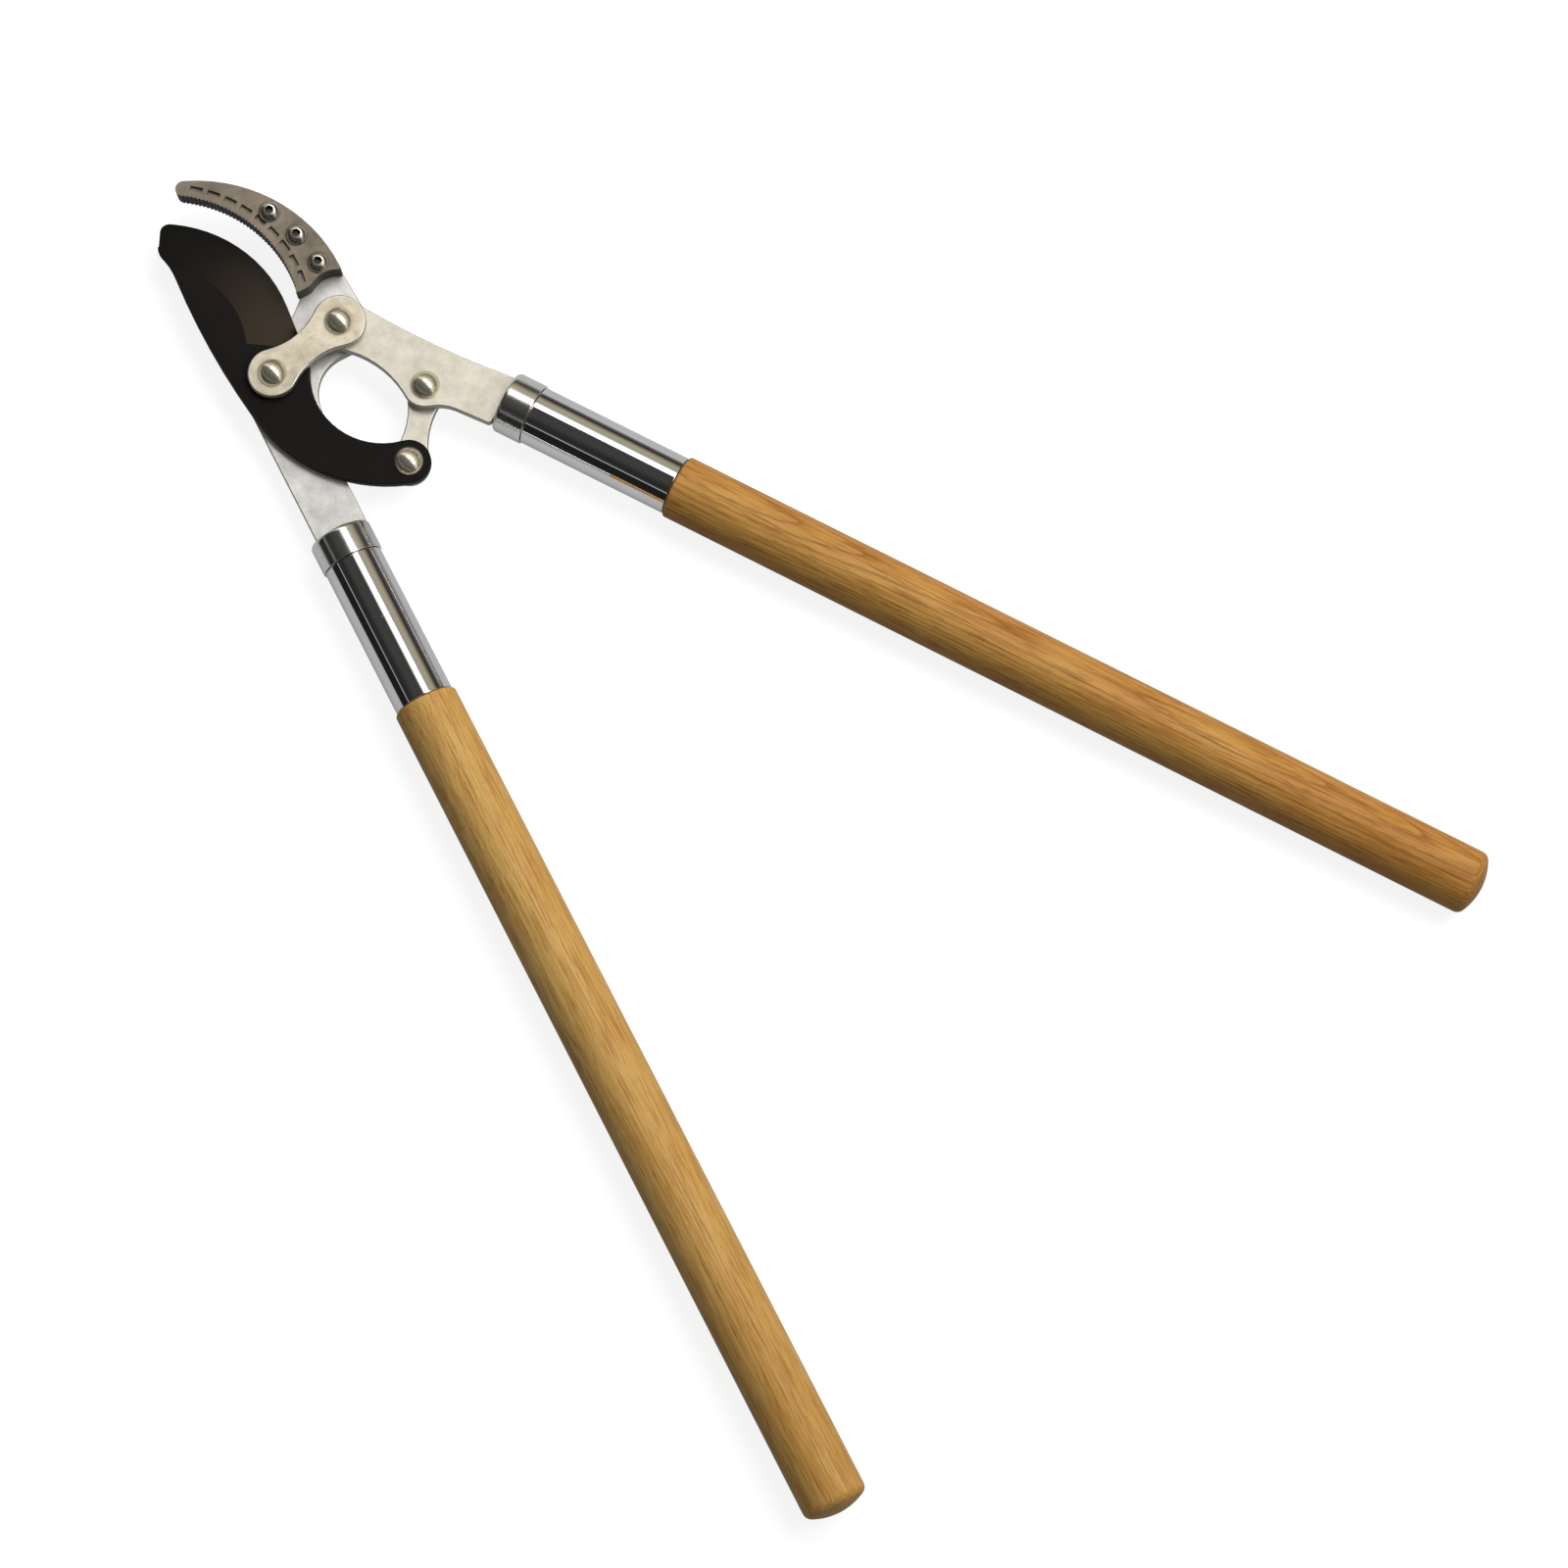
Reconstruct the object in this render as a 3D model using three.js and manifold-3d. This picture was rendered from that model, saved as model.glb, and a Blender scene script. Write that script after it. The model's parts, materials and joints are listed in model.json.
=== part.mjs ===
// Anvil loppers with a compound-action head. Two long wooden handles sit in steel ferrules, and the
// head is a stack of stamped plates riveted together. The fixed handle's arm carries a curved anvil
// jaw. The blade turns on the blade pivot and closes on the anvil; its tail runs back round the
// ring-shaped gap to a short link, and the link hangs from the moving handle's arm, which turns on
// the handle pivot. The blade therefore turns about two thirds as far as the handle does.
//
// Millimetres, +Z up, lying on its handles. In the head plane x is measured across from the fixed
// handle's axis, y ahead of the blade pivot, and z from the plane of the two handle axes, which is
// also the joint between the lower plates and the upper ones. The whole is moved at the end, so that
// its origin is the middle of the bottom of its box.
import * as THREE from 'three';
import { mergeVertices } from 'three/addons/utils/BufferGeometryUtils.js';
import Module from 'manifold-3d';

const wasm = await Module();
wasm.setup();

const DEG = Math.PI / 180;

// Clearances
const RUN_GAP = 0.3; // between plates that slide on one another, and round a turning pin
const SEAT_GAP = 0.3; // between fixed pieces that fit into or against one another
const SWING_SLACK = 1.7; // extra room round the tail pin in the link

// Plates
const PLATE = 5; // both arms, the blade and the link
const STRAP = 3.8; // top strap
const LOBE = 13.2; // radius round the handle pivot on the strap
const STRAP_LOBE = 12.3; // radius round the blade pivot on the strap
const STRAP_WAIST = 33; // radius of the strap's two hollow sides
const LINK_LOBE = 10; // radius round the link's two pins
const LINK_WAIST = 38; // radius of the link's two hollow sides

// Pivots
const BLADE_PIVOT = [6.7, 0];
const HANDLE_PIVOT = [47.1, 8.8];
const ARM_PIN = [70.3, -38.5]; // link to moving arm
const TAIL_PIN = [46, -69.3]; // link to blade tail
const PIN_RADIUS = 4;
const RIVET_HEAD = 7.25;
const RIVET_HEAD_HEIGHT = 4.8;
const RIVET_BACK = 6.6;
const RIVET_BACK_HEIGHT = 3;
const WASHER_RADIUS = 8.6;
const WASHER = 1.2;

// Anvil face and cutting edge: one arc, whose circle runs round the blade pivot. The blade's own
// copy of it is turned open by OPEN_ANGLE.
const FACE_RADIUS = 68.6;
const FACE_PAST = 9.6; // from the blade pivot to the nearest point of the circle
const FACE_BEARING = 131.4 * DEG; // of the circle's centre from the blade pivot
const OPEN_ANGLE = 11.2 * DEG;

// Blade
const NOSE_RADIUS = 4.5;
const NOSE_AT = 58.5 * DEG; // where on the edge arc the nose begins
const NOSE_SIDE = [-8.6, 81.8, 7.4];
const NOSE_HOLLOW = 30; // radius of the slight hollow between the nose and the back
const BACK_RADIUS = 380;
const BACK_AT = 188.6 * DEG; // where the back runs into the tail's arc
const TAIL_RADIUS = 79.5;
const TAIL_AT = 251.7 * DEG; // where the tail's arc runs into the end lobe
const TAIL_LOBE = 10.9;
const RING_RADIUS = 36.2; // hollow side of the tail
const SHANK = [15.4, -0.6, 9.8]; // rounded corner between the hollow side and the edge
const EDGE_THICKNESS = 0.3;
const BEVEL_WIDTH = 23.6;
const GRIND_END = [3, 19.8]; // the bevel stops on a straight line through here
const GRIND_SLOPE = -32.6 * DEG;

// Anvil jaw. Depths are behind its face, and bearings are taken from the centre of the face's arc.
const JAW_TOP = 11; // its upper face
const JAW_TIP = 4;
const JAW_BACK = 11.7; // how much larger the outer edge's radius is than the face's
const JAW_BACK_SHIFT = [11.82, -10.66]; // from the centre of the face to the outer edge's centre
const JAW_HEEL = [4.04, -5.42 * DEG, 7]; // depth, bearing, radius
const JAW_HEEL_HOLLOW = 14;
const JAW_CORNER = 0.8;
const JAW_FOOT = 2; // from the heel's lowest level up to the outer edge's corner
const LIP = 6; // how far the arm's tongue below it stops short of its face
const HEEL_LAP = [1.2, 2.5]; // the arm under its heel: behind the face, and up from its lowest level
const TONGUE_END = 29 * DEG;
const TOOTH_PITCH = 2;
const TOOTH_DEPTH = 0.65;
const TEETH = 42;
const FIRST_TOOTH = -9.5 * DEG;
const SLOTS = 9;
const SLOT_STEP = 7.03 * DEG;
const FIRST_SLOT = -5.8 * DEG;
const SLOT_INSET = 4.6;
const SLOT_SIZE = [2.6, 6.3, 2]; // across, along, deep

// Jaw screws: M6 button heads with plain hexagon nuts
const JAW_SCREWS = [[10.86, 21.9 * DEG], [12.64, 9.1 * DEG], [14.95, -3.26 * DEG]]; // depth, bearing
const SCREW_RADIUS = 3;
const SCREW_HEAD = 5.5;
const SCREW_HEAD_HEIGHT = 3.3;
const SCREW_END = 1; // past the nut
const SCREW_CHAMFER = 0.6;
const SOCKET_FLATS = 4;
const SOCKET_DEPTH = 2;
const NUT_FLATS = 10;
const NUT = 5;

// Arms, measured from the handle's axis
const ARM_INNER = 14.9;
const ARM_OUTER = 11.4;
const ARM_CHAMFER = 1.2;
const TANG_LENGTH = 70; // behind the ferrule's front face
const TANG_NOSE = 2;
const FIXED_EYE = 18.1; // fixed arm round the blade pivot
const FIXED_LOBE = 14.2; // fixed arm round the handle pivot
const FIXED_RING = [39.9, -24.9, -19.5]; // its side of the ring-shaped gap
const FIXED_WAIST = [75, -62, -60];
const FIXED_HEEL = [-12.84, 4.47, 12]; // its hollow below the jaw, from the jaw's heel corner
const MOVING_LOBE = 13;
const MOVING_EYE = 11.2; // moving arm round the link's pin
const MOVING_BACK = 450; // radius of its hollow outer edge
const MOVING_RING = 48; // radius of its side of the ring-shaped gap
const MOVING_THROAT = 22; // radius of the hollow behind the pin
const MOVING_KNEE = [0.9, 17, 12]; // out from the arm's side, ahead of the ferrule, radius

// Handles, along their axis from the ferrule's front face
const FERRULE_AHEAD = 85.4; // fixed: behind the blade pivot
const MOVING_AHEAD = 89.7; // moving: behind the handle pivot
const MOVING_ASIDE = 3.4; // moving: axis outside the handle pivot
const SPREAD = 35.4 * DEG; // between the handles
const WOOD_RADIUS = 15.9;
const WOOD = 433;
const WOOD_EDGE = 1.2;
const BUTT_EDGE = 5.5;
const NECK = 66; // part of the wood inside the tube
const TUBE_STEP = 1.2; // how far the wood stands out past the tube
const TUBE_WALL = 1.4;
const TUBE = 78;
const CAP_STEP = 0.4; // how far the wood stands out past the cap
const CAP = 15.4;
const CAP_WALL = 2.5; // its front
const CAP_SHOULDER = 2.5;
const CAP_SPIGOT = 10; // part of the cap inside the tube
const SPIGOT_WALL = 1.8;
const TANG_COVER = 2.05; // wood left outside the corners of the tang's slot

// Levels
const LOWER_TOP = -RUN_GAP / 2;
const LOWER = LOWER_TOP - PLATE;
const UPPER = RUN_GAP / 2;
const UPPER_TOP = UPPER + PLATE;
const STRAP_BOTTOM = UPPER_TOP + RUN_GAP;
const STRAP_TOP = STRAP_BOTTOM + STRAP;
const WASHER_BOTTOM = LOWER - RUN_GAP - WASHER;

// Fits in the ferrule: the cap's spigot and the wood's neck fill the tube, and the tang is as wide
// as the neck allows with its plate lying on one side of the axis.
const TUBE_RADIUS = WOOD_RADIUS - TUBE_STEP;
const CAP_RADIUS = WOOD_RADIUS - CAP_STEP;
const TUBE_BORE = TUBE_RADIUS - TUBE_WALL;
const INSERT = TUBE_BORE - SEAT_GAP;
const TANG = Math.sqrt((INSERT - TANG_COVER) ** 2 - (UPPER_TOP + SEAT_GAP) ** 2) - SEAT_GAP; // half its width

// ---------------------------------------------------------------------------- geometry helpers

const CHORD_ERROR = 0.06;
const OVERCUT = 1; // how far a cutter runs past the face it opens
const facets = (radius) => 2 * Math.ceil(Math.PI / (2 * Math.acos(1 - CHORD_ERROR / Math.abs(radius))));
const polar = ([x, y], radius, angle) => [x + radius * Math.cos(angle), y + radius * Math.sin(angle)];
const around = (angle) => ((angle % (2 * Math.PI)) + 2 * Math.PI) % (2 * Math.PI);

// The point at distance a from p and b from q, on the right of the way from p to q.
function meeting(p, a, q, b) {
  const [dx, dy] = [q[0] - p[0], q[1] - p[1]];
  const apart = Math.hypot(dx, dy);
  const along = (a * a - b * b + apart * apart) / (2 * apart);
  const aside = Math.sqrt(a * a - along * along);
  return [p[0] + (along * dx + aside * dy) / apart, p[1] + (along * dy - aside * dx) / apart];
}

// A disc of another radius that touches this one from inside or outside at the angle.
function rolled([x, y, radius], other, angle) {
  return [...polar([x, y], radius - other, angle), other];
}

// A plate's outline: a belt laid counter-clockwise round discs [x, y, radius]. A positive radius is
// a rounded corner, 0 a sharp one, and a negative radius a hollow. { hollow: radius } is a hollow
// that touches the discs before and after it.
function belt(items) {
  const next = (list, i) => list[(i + 1) % list.length];
  const discs = items.map((item, i) => {
    if (!item.hollow) return item;
    const [before, after] = [items.at(i - 1), next(items, i)];
    const centre = meeting(before, before[2] + item.hollow, after, after[2] + item.hollow);
    return [...centre, -item.hollow];
  });
  const heading = (a, b) => {
    const [dx, dy] = [b[0] - a[0], b[1] - a[1]];
    const lean = (b[2] - a[2]) / Math.hypot(dx, dy);
    return Math.atan2(dy, dx) - Math.asin(Math.max(-1, Math.min(1, lean)));
  };
  const outline = [];
  discs.forEach((disc, i) => {
    const start = heading(discs.at(i - 1), disc) - Math.PI / 2;
    const end = heading(disc, next(discs, i)) - Math.PI / 2;
    for (const angle of turn(start, end, disc[2])) outline.push(polar(disc, disc[2], angle));
  });
  const clear = (p, q) => Math.hypot(p[0] - q[0], p[1] - q[1]) > 0.02;
  return outline.filter((point, i) => clear(point, outline.at(i - 1)));
}

// Angles from start to end round an arc, with its facets on whole steps of the full circle.
function turn(start, end, radius) {
  if (radius === 0) return [start];
  const step = (2 * Math.PI) / facets(radius);
  const back = radius < 0;
  const sweep = back ? around(start - end) : around(end - start);
  if (sweep > 2 * Math.PI - 1e-6 || sweep < 1e-6) return [start];
  const [low, high] = back ? [start - sweep, start] : [start, start + sweep];
  const angles = [low];
  for (let k = Math.ceil(low / step + 0.25); k * step < high - 0.25 * step; k += 1) angles.push(k * step);
  angles.push(high);
  return back ? angles.reverse() : angles;
}

function circle(centre, radius) {
  const count = facets(radius);
  return Array.from({ length: count }, (_, i) => polar(centre, radius, (2 * Math.PI * i) / count));
}

// A solid of the outline from one level up to another, with round holes [centre, radius].
function slab(outline, bottom, top, holes = []) {
  const points = (list) => list.map(([x, y]) => new THREE.Vector2(x, y));
  const shape = new THREE.Shape(points(outline));
  for (const [centre, radius] of holes) shape.holes.push(new THREE.Path(points(circle(centre, radius))));
  const geometry = new THREE.ExtrudeGeometry(shape, { depth: top - bottom, bevelEnabled: false });
  return geometry.translate(0, 0, bottom);
}

// A solid turned about Y from a profile of [radius, height], listed upwards along its outside.
function turned(profile, widest) {
  const points = profile.map(([radius, height]) => new THREE.Vector2(radius, height));
  return new THREE.LatheGeometry(points, facets(widest));
}

// The same, stood up on Z over a point of the head plane.
const standing = (profile, widest, [x, y] = [0, 0]) =>
  turned(profile, widest).rotateX(Math.PI / 2).translate(x, y, 0);

// A quarter round of a profile, from one angle to another about [radius, height].
function quarter([r, h], radius, from, to, steps = 4) {
  return Array.from({ length: steps + 1 }, (_, i) =>
    polar([r, h], radius, (from + ((to - from) * i) / steps) * DEG));
}

// A shallow dome of the given radius and height on a level, listed from its rim to its crown.
function dome(radius, height, level, steps = 5) {
  const ball = (radius * radius + height * height) / (2 * height);
  const rim = Math.asin((ball - height) / ball);
  return Array.from({ length: steps + 1 }, (_, i) => {
    const angle = rim + ((Math.PI / 2 - rim) * i) / steps;
    return i === steps ? [0, level + height] : polar([0, level + height - ball], ball, angle);
  });
}

// Positions only, with shared vertices merged and the slivers at a turned piece's axis dropped.
function merged(geometry) {
  const bare = geometry.clone();
  bare.deleteAttribute('normal');
  bare.deleteAttribute('uv');
  const joined = mergeVertices(bare);
  const kept = [];
  const index = joined.index.array;
  for (let i = 0; i < index.length; i += 3) {
    const [a, b, c] = index.slice(i, i + 3);
    if (a !== b && b !== c && c !== a) kept.push(a, b, c);
  }
  joined.setIndex(kept);
  return joined;
}

function solid(geometry) {
  const { attributes, index } = merged(geometry);
  return new wasm.Manifold(new wasm.Mesh({
    numProp: 3,
    vertProperties: new Float32Array(attributes.position.array),
    triVerts: new Uint32Array(index.array),
  }));
}

function cut(geometry, ...cutters) {
  const body = cutters.reduce((rest, cutter) => rest.subtract(solid(cutter)), solid(geometry));
  const { vertProperties, triVerts } = body.getMesh();
  const result = new THREE.BufferGeometry();
  result.setAttribute('position', new THREE.BufferAttribute(vertProperties, 3));
  result.setIndex(new THREE.BufferAttribute(triVerts, 1));
  return result;
}

function box(width, depth, height, x, y, z) {
  return new THREE.BoxGeometry(width, depth, height).translate(x, y, z);
}

function hexagon([x, y], flats) {
  const corner = flats / Math.sqrt(3);
  return Array.from({ length: 6 }, (_, i) => polar([x, y], corner, i * 60 * DEG));
}

// ------------------------------------------------------------------------------------ materials

const FINISHES = {
  plate: { color: '#cdc6ba', roughness: 0.42, metalness: 0.85 },
  blade: { color: '#211e1c', roughness: 0.5, metalness: 0.2 },
  casting: { color: '#877a68', roughness: 0.6, metalness: 0.6 },
  bright: { color: '#d9d4ca', roughness: 0.2, metalness: 1 },
  chrome: { color: '#e6e7ea', roughness: 0.06, metalness: 1 },
  wood: { color: '#c4924c', roughness: 0.45, metalness: 0 },
};

function piece(name, geometry, finish) {
  const closed = merged(geometry).toNonIndexed();
  closed.computeVertexNormals();
  const mesh = new THREE.Mesh(closed, new THREE.MeshStandardMaterial(FINISHES[finish]));
  mesh.name = name;
  return mesh;
}

// ------------------------------------------------------------------------- places worked out once

const faceOffset = FACE_RADIUS - FACE_PAST;
const faceCentre = polar(BLADE_PIVOT, faceOffset, FACE_BEARING);
const edgeCentre = polar(BLADE_PIVOT, faceOffset, FACE_BEARING + OPEN_ANGLE);
const behindFace = (depth, bearing) => polar(faceCentre, FACE_RADIUS + depth, bearing);
const jawScrews = JAW_SCREWS.map(([depth, bearing]) => behindFace(depth, bearing));
const jawBack = [
  faceCentre[0] + JAW_BACK_SHIFT[0],
  faceCentre[1] + JAW_BACK_SHIFT[1],
  FACE_RADIUS + JAW_BACK,
];
const jawHeel = [...behindFace(JAW_HEEL[0], JAW_HEEL[1]), JAW_HEEL[2]];
const jawFoot = jawHeel[1] - jawHeel[2]; // the heel's lowest level
const faceAt = (y, radius) => polar(faceCentre, radius, Math.asin((y - faceCentre[1]) / radius));
const pinHole = PIN_RADIUS + RUN_GAP;
const screwHole = SCREW_RADIUS + SEAT_GAP;

// The moving handle's axis: along it from the ferrule's front face, and out from it to the side
// away from the fixed handle.
const movingAlong = [Math.sin(SPREAD), -Math.cos(SPREAD)];
const movingOut = [Math.cos(SPREAD), Math.sin(SPREAD)];
const placed = ([x, y], along, out) => [
  x + along * movingAlong[0] + out * movingOut[0],
  y + along * movingAlong[1] + out * movingOut[1],
];
const movingFront = placed(HANDLE_PIVOT, MOVING_AHEAD, MOVING_ASIDE);
const onMoving = (out, along, radius = 0) => [...placed(movingFront, along, out), radius];

// ----------------------------------------------------------------------------------- head plates

// An arm's end in its handle: a chamfered shoulder in front of the ferrule and the tang behind it.
// at(out, along) gives a corner from the handle's axis; the list runs from the outer side to the
// inner one, or back again for the arm whose outer side comes first.
function tangEnd(at) {
  const shoulder = -SEAT_GAP;
  const nose = TANG_LENGTH - TANG_NOSE;
  return [
    at(ARM_OUTER, shoulder - ARM_CHAMFER),
    at(ARM_OUTER - ARM_CHAMFER / 2, shoulder),
    at(TANG, shoulder),
    at(TANG, nose),
    at(TANG - TANG_NOSE, TANG_LENGTH),
    at(TANG_NOSE - TANG, TANG_LENGTH),
    at(-TANG, nose),
    at(-TANG, shoulder),
    at(ARM_CHAMFER - ARM_INNER, shoulder),
    at(-ARM_INNER, shoulder - ARM_CHAMFER),
  ];
}

function fixedArmPlate() {
  const tongueInner = FACE_RADIUS + LIP + SEAT_GAP;
  const lipEnd = jawFoot - SEAT_GAP;
  const tongueTop = TONGUE_END - SEAT_GAP / tongueInner;
  const heelCorner = faceAt(lipEnd, FACE_RADIUS);
  const outline = belt([
    ...tangEnd((out, along) => [-out, -FERRULE_AHEAD - along, 0]),
    FIXED_WAIST,
    FIXED_RING,
    [...HANDLE_PIVOT, FIXED_LOBE],
    jawBack,
    [...meetingAlong(faceCentre, tongueTop, jawBack), 0],
    [...polar(faceCentre, tongueInner, tongueTop), 0],
    [...faceCentre, -tongueInner],
    [...faceAt(jawFoot + HEEL_LAP[1], tongueInner), 0],
    [...faceAt(jawFoot + HEEL_LAP[1], FACE_RADIUS + HEEL_LAP[0]), 0],
    [...heelCorner, 0],
    [heelCorner[0] + FIXED_HEEL[0], heelCorner[1] + FIXED_HEEL[1], -FIXED_HEEL[2]],
    [...BLADE_PIVOT, FIXED_EYE],
  ]);
  const holes = [[BLADE_PIVOT, pinHole], [HANDLE_PIVOT, pinHole]];
  for (const centre of jawScrews) holes.push([centre, screwHole]);
  return piece('fixed_arm_plate', slab(outline, LOWER, LOWER_TOP, holes), 'plate');
}

// Where the ray from a point at an angle leaves a disc.
function meetingAlong([x, y], angle, [centreX, centreY, radius]) {
  const [dx, dy] = [Math.cos(angle), Math.sin(angle)];
  const [ox, oy] = [x - centreX, y - centreY];
  const half = ox * dx + oy * dy;
  const reach = -half + Math.sqrt(half * half - (ox * ox + oy * oy - radius * radius));
  return [x + reach * dx, y + reach * dy];
}

function movingArmPlate() {
  const [kneeOut, kneeAhead, kneeRadius] = MOVING_KNEE;
  const outline = belt([
    ...tangEnd((out, along) => onMoving(out, along)).reverse(),
    { hollow: MOVING_BACK },
    [...HANDLE_PIVOT, MOVING_LOBE],
    { hollow: MOVING_RING },
    [...ARM_PIN, MOVING_EYE],
    { hollow: MOVING_THROAT },
    onMoving(kneeRadius - ARM_INNER - kneeOut, -kneeAhead, kneeRadius),
  ]);
  const holes = [[HANDLE_PIVOT, pinHole], [ARM_PIN, pinHole]];
  return piece('moving_arm_plate', slab(outline, UPPER, UPPER_TOP, holes), 'plate');
}

function topStrap() {
  const outline = belt([
    [...BLADE_PIVOT, STRAP_LOBE],
    { hollow: STRAP_WAIST },
    [...HANDLE_PIVOT, LOBE],
    { hollow: STRAP_WAIST },
  ]);
  const holes = [[BLADE_PIVOT, pinHole], [HANDLE_PIVOT, pinHole]];
  return piece('top_strap', slab(outline, STRAP_BOTTOM, STRAP_TOP, holes), 'plate');
}

// The loop of blade, link and arm is opened here: the link's hole round the tail pin is wide enough
// for the small amount by which the true motion leaves a steady ratio.
function linkPlate() {
  const outline = belt([
    [...ARM_PIN, LINK_LOBE],
    { hollow: LINK_WAIST },
    [...TAIL_PIN, LINK_LOBE],
    { hollow: LINK_WAIST },
  ]);
  const holes = [[ARM_PIN, pinHole], [TAIL_PIN, pinHole + SWING_SLACK]];
  return piece('link_plate', slab(outline, LOWER, LOWER_TOP, holes), 'plate');
}

function blade() {
  const edge = [...edgeCentre, FACE_RADIUS];
  const lobe = [...TAIL_PIN, TAIL_LOBE];
  const tail = rolled(lobe, TAIL_RADIUS, TAIL_AT);
  const outline = belt([
    edge,
    rolled(edge, NOSE_RADIUS, NOSE_AT),
    NOSE_SIDE,
    { hollow: NOSE_HOLLOW },
    rolled(tail, BACK_RADIUS, BACK_AT),
    tail,
    lobe,
    { hollow: RING_RADIUS },
    SHANK,
  ]);
  const holes = [[BLADE_PIVOT, pinHole], [TAIL_PIN, pinHole]];
  const blank = slab(outline, UPPER, UPPER_TOP, holes);
  return piece('blade', cut(blank, bevelCutter()), 'blade');
}

// The ground bevel is a cone about the edge's own centre, cut off on a straight line at the heel.
function bevelCutter() {
  const edgeTop = UPPER + EDGE_THICKNESS;
  const slope = (UPPER_TOP - edgeTop) / BEVEL_WIDTH;
  const inner = FACE_RADIUS - BEVEL_WIDTH;
  const cone = standing([
    [inner - OVERCUT, UPPER_TOP + slope * OVERCUT],
    [FACE_RADIUS + OVERCUT, edgeTop - slope * OVERCUT],
    [FACE_RADIUS + OVERCUT, UPPER_TOP + 2 * OVERCUT],
    [inner - OVERCUT, UPPER_TOP + 2 * OVERCUT],
    [inner - OVERCUT, UPPER_TOP + slope * OVERCUT],
  ], FACE_RADIUS, edgeCentre);
  const side = 4 * FACE_RADIUS;
  const below = box(side, side, side, 0, -side / 2, 0).rotateZ(GRIND_SLOPE).translate(...GRIND_END, 0);
  return cut(cone, below);
}

// ------------------------------------------------------------------------------------- anvil jaw

function jawOutline() {
  const tip = meeting(jawBack, jawBack[2] - JAW_TIP, faceCentre, FACE_RADIUS + JAW_TIP);
  const inner = faceAt(jawFoot, FACE_RADIUS);
  const outerCorner = Math.asin((jawFoot + JAW_FOOT - jawBack[1]) / jawBack[2]);
  return belt([
    jawBack,
    [...tip, JAW_TIP],
    [...faceCentre, -FACE_RADIUS],
    [inner[0] + JAW_CORNER, inner[1] + JAW_CORNER, JAW_CORNER],
    jawHeel,
    { hollow: JAW_HEEL_HOLLOW },
    rolled(jawBack, JAW_CORNER, outerCorner),
  ]);
}

// One cutter for all the grooves of the face: a zigzag that rises past it once in each pitch.
function toothCutter() {
  const pitch = TOOTH_PITCH / FACE_RADIUS;
  const crest = FACE_RADIUS - OVERCUT / 2;
  const zigzag = [];
  for (let k = 0; k < TEETH; k += 1) {
    const start = FIRST_TOOTH + k * pitch;
    zigzag.push(polar(faceCentre, crest, start));
    zigzag.push(polar(faceCentre, FACE_RADIUS + TOOTH_DEPTH, start + pitch / 2));
  }
  const end = FIRST_TOOTH + TEETH * pitch;
  zigzag.push(polar(faceCentre, crest, end));
  const inside = turn(FIRST_TOOTH, end, FACE_RADIUS).map((angle) =>
    polar(faceCentre, crest - OVERCUT, angle));
  return slab([...zigzag, ...inside.reverse()], LOWER_TOP, JAW_TOP + OVERCUT);
}

function slotCutters() {
  const [across, along, deep] = SLOT_SIZE;
  return Array.from({ length: SLOTS }, (_, i) => {
    const angle = FIRST_SLOT + i * SLOT_STEP;
    const [x, y] = behindFace(SLOT_INSET, angle);
    return box(across, along, 2 * deep, 0, 0, JAW_TOP).rotateZ(angle).translate(x, y, 0);
  });
}

function anvilJaw() {
  const holes = jawScrews.map((centre) => [centre, screwHole]);
  const blank = slab(jawOutline(), LOWER_TOP + SEAT_GAP, JAW_TOP, holes);
  const body = cut(blank, toothCutter(), ...slotCutters());
  return piece('anvil_jaw', body, 'casting');
}

// ------------------------------------------------------------------------------------ fasteners

function rivet(name, centre, headLevel) {
  const back = dome(RIVET_BACK, RIVET_BACK_HEIGHT, 0).reverse();
  return piece(name, standing([
    ...back.map(([radius, height]) => [radius, WASHER_BOTTOM - height]),
    [PIN_RADIUS, WASHER_BOTTOM],
    [PIN_RADIUS, headLevel],
    ...dome(RIVET_HEAD, RIVET_HEAD_HEIGHT, headLevel),
  ], RIVET_HEAD, centre), 'bright');
}

function washer(name, centre) {
  const rim = circle(centre, WASHER_RADIUS);
  const ring = slab(rim, WASHER_BOTTOM, WASHER_BOTTOM + WASHER, [[centre, pinHole]]);
  return piece(name, ring, 'bright');
}

function jawScrew(name, centre) {
  const end = LOWER - NUT - SCREW_END;
  const body = standing([
    [0, end],
    [SCREW_RADIUS - SCREW_CHAMFER, end],
    [SCREW_RADIUS, end + SCREW_CHAMFER],
    [SCREW_RADIUS, JAW_TOP],
    ...dome(SCREW_HEAD, SCREW_HEAD_HEIGHT, JAW_TOP),
  ], SCREW_HEAD, centre);
  const top = JAW_TOP + SCREW_HEAD_HEIGHT;
  const socket = slab(hexagon(centre, SOCKET_FLATS), top - SOCKET_DEPTH, top + OVERCUT);
  return piece(name, cut(body, socket), 'bright');
}

function jawNut(name, centre) {
  return piece(name, slab(hexagon(centre, NUT_FLATS), LOWER - NUT, LOWER, [[centre, screwHole]]), 'bright');
}

// -------------------------------------------------------------------------------------- handles

// A handle's pieces, along -Y from the ferrule's front face. plateBottom is the level of the arm's
// underside, because one arm lies just below the axis and the other just above it.
function handle(prefix, plateBottom) {
  const group = new THREE.Group();
  const slotWidth = 2 * (TANG + SEAT_GAP);
  const slotHeight = PLATE + 2 * SEAT_GAP;
  const slot = (length) => box(slotWidth, length, slotHeight, 0, -length / 2, plateBottom + PLATE / 2);
  group.add(
    ferruleCap(`${prefix}_ferrule_cap`, slot(CAP_WALL + 2 * OVERCUT).translate(0, OVERCUT, 0)),
    ferruleTube(`${prefix}_ferrule_tube`),
    woodHandle(`${prefix}_wood_handle`, slot(TANG_LENGTH + SEAT_GAP)),
  );
  return group;
}

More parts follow.
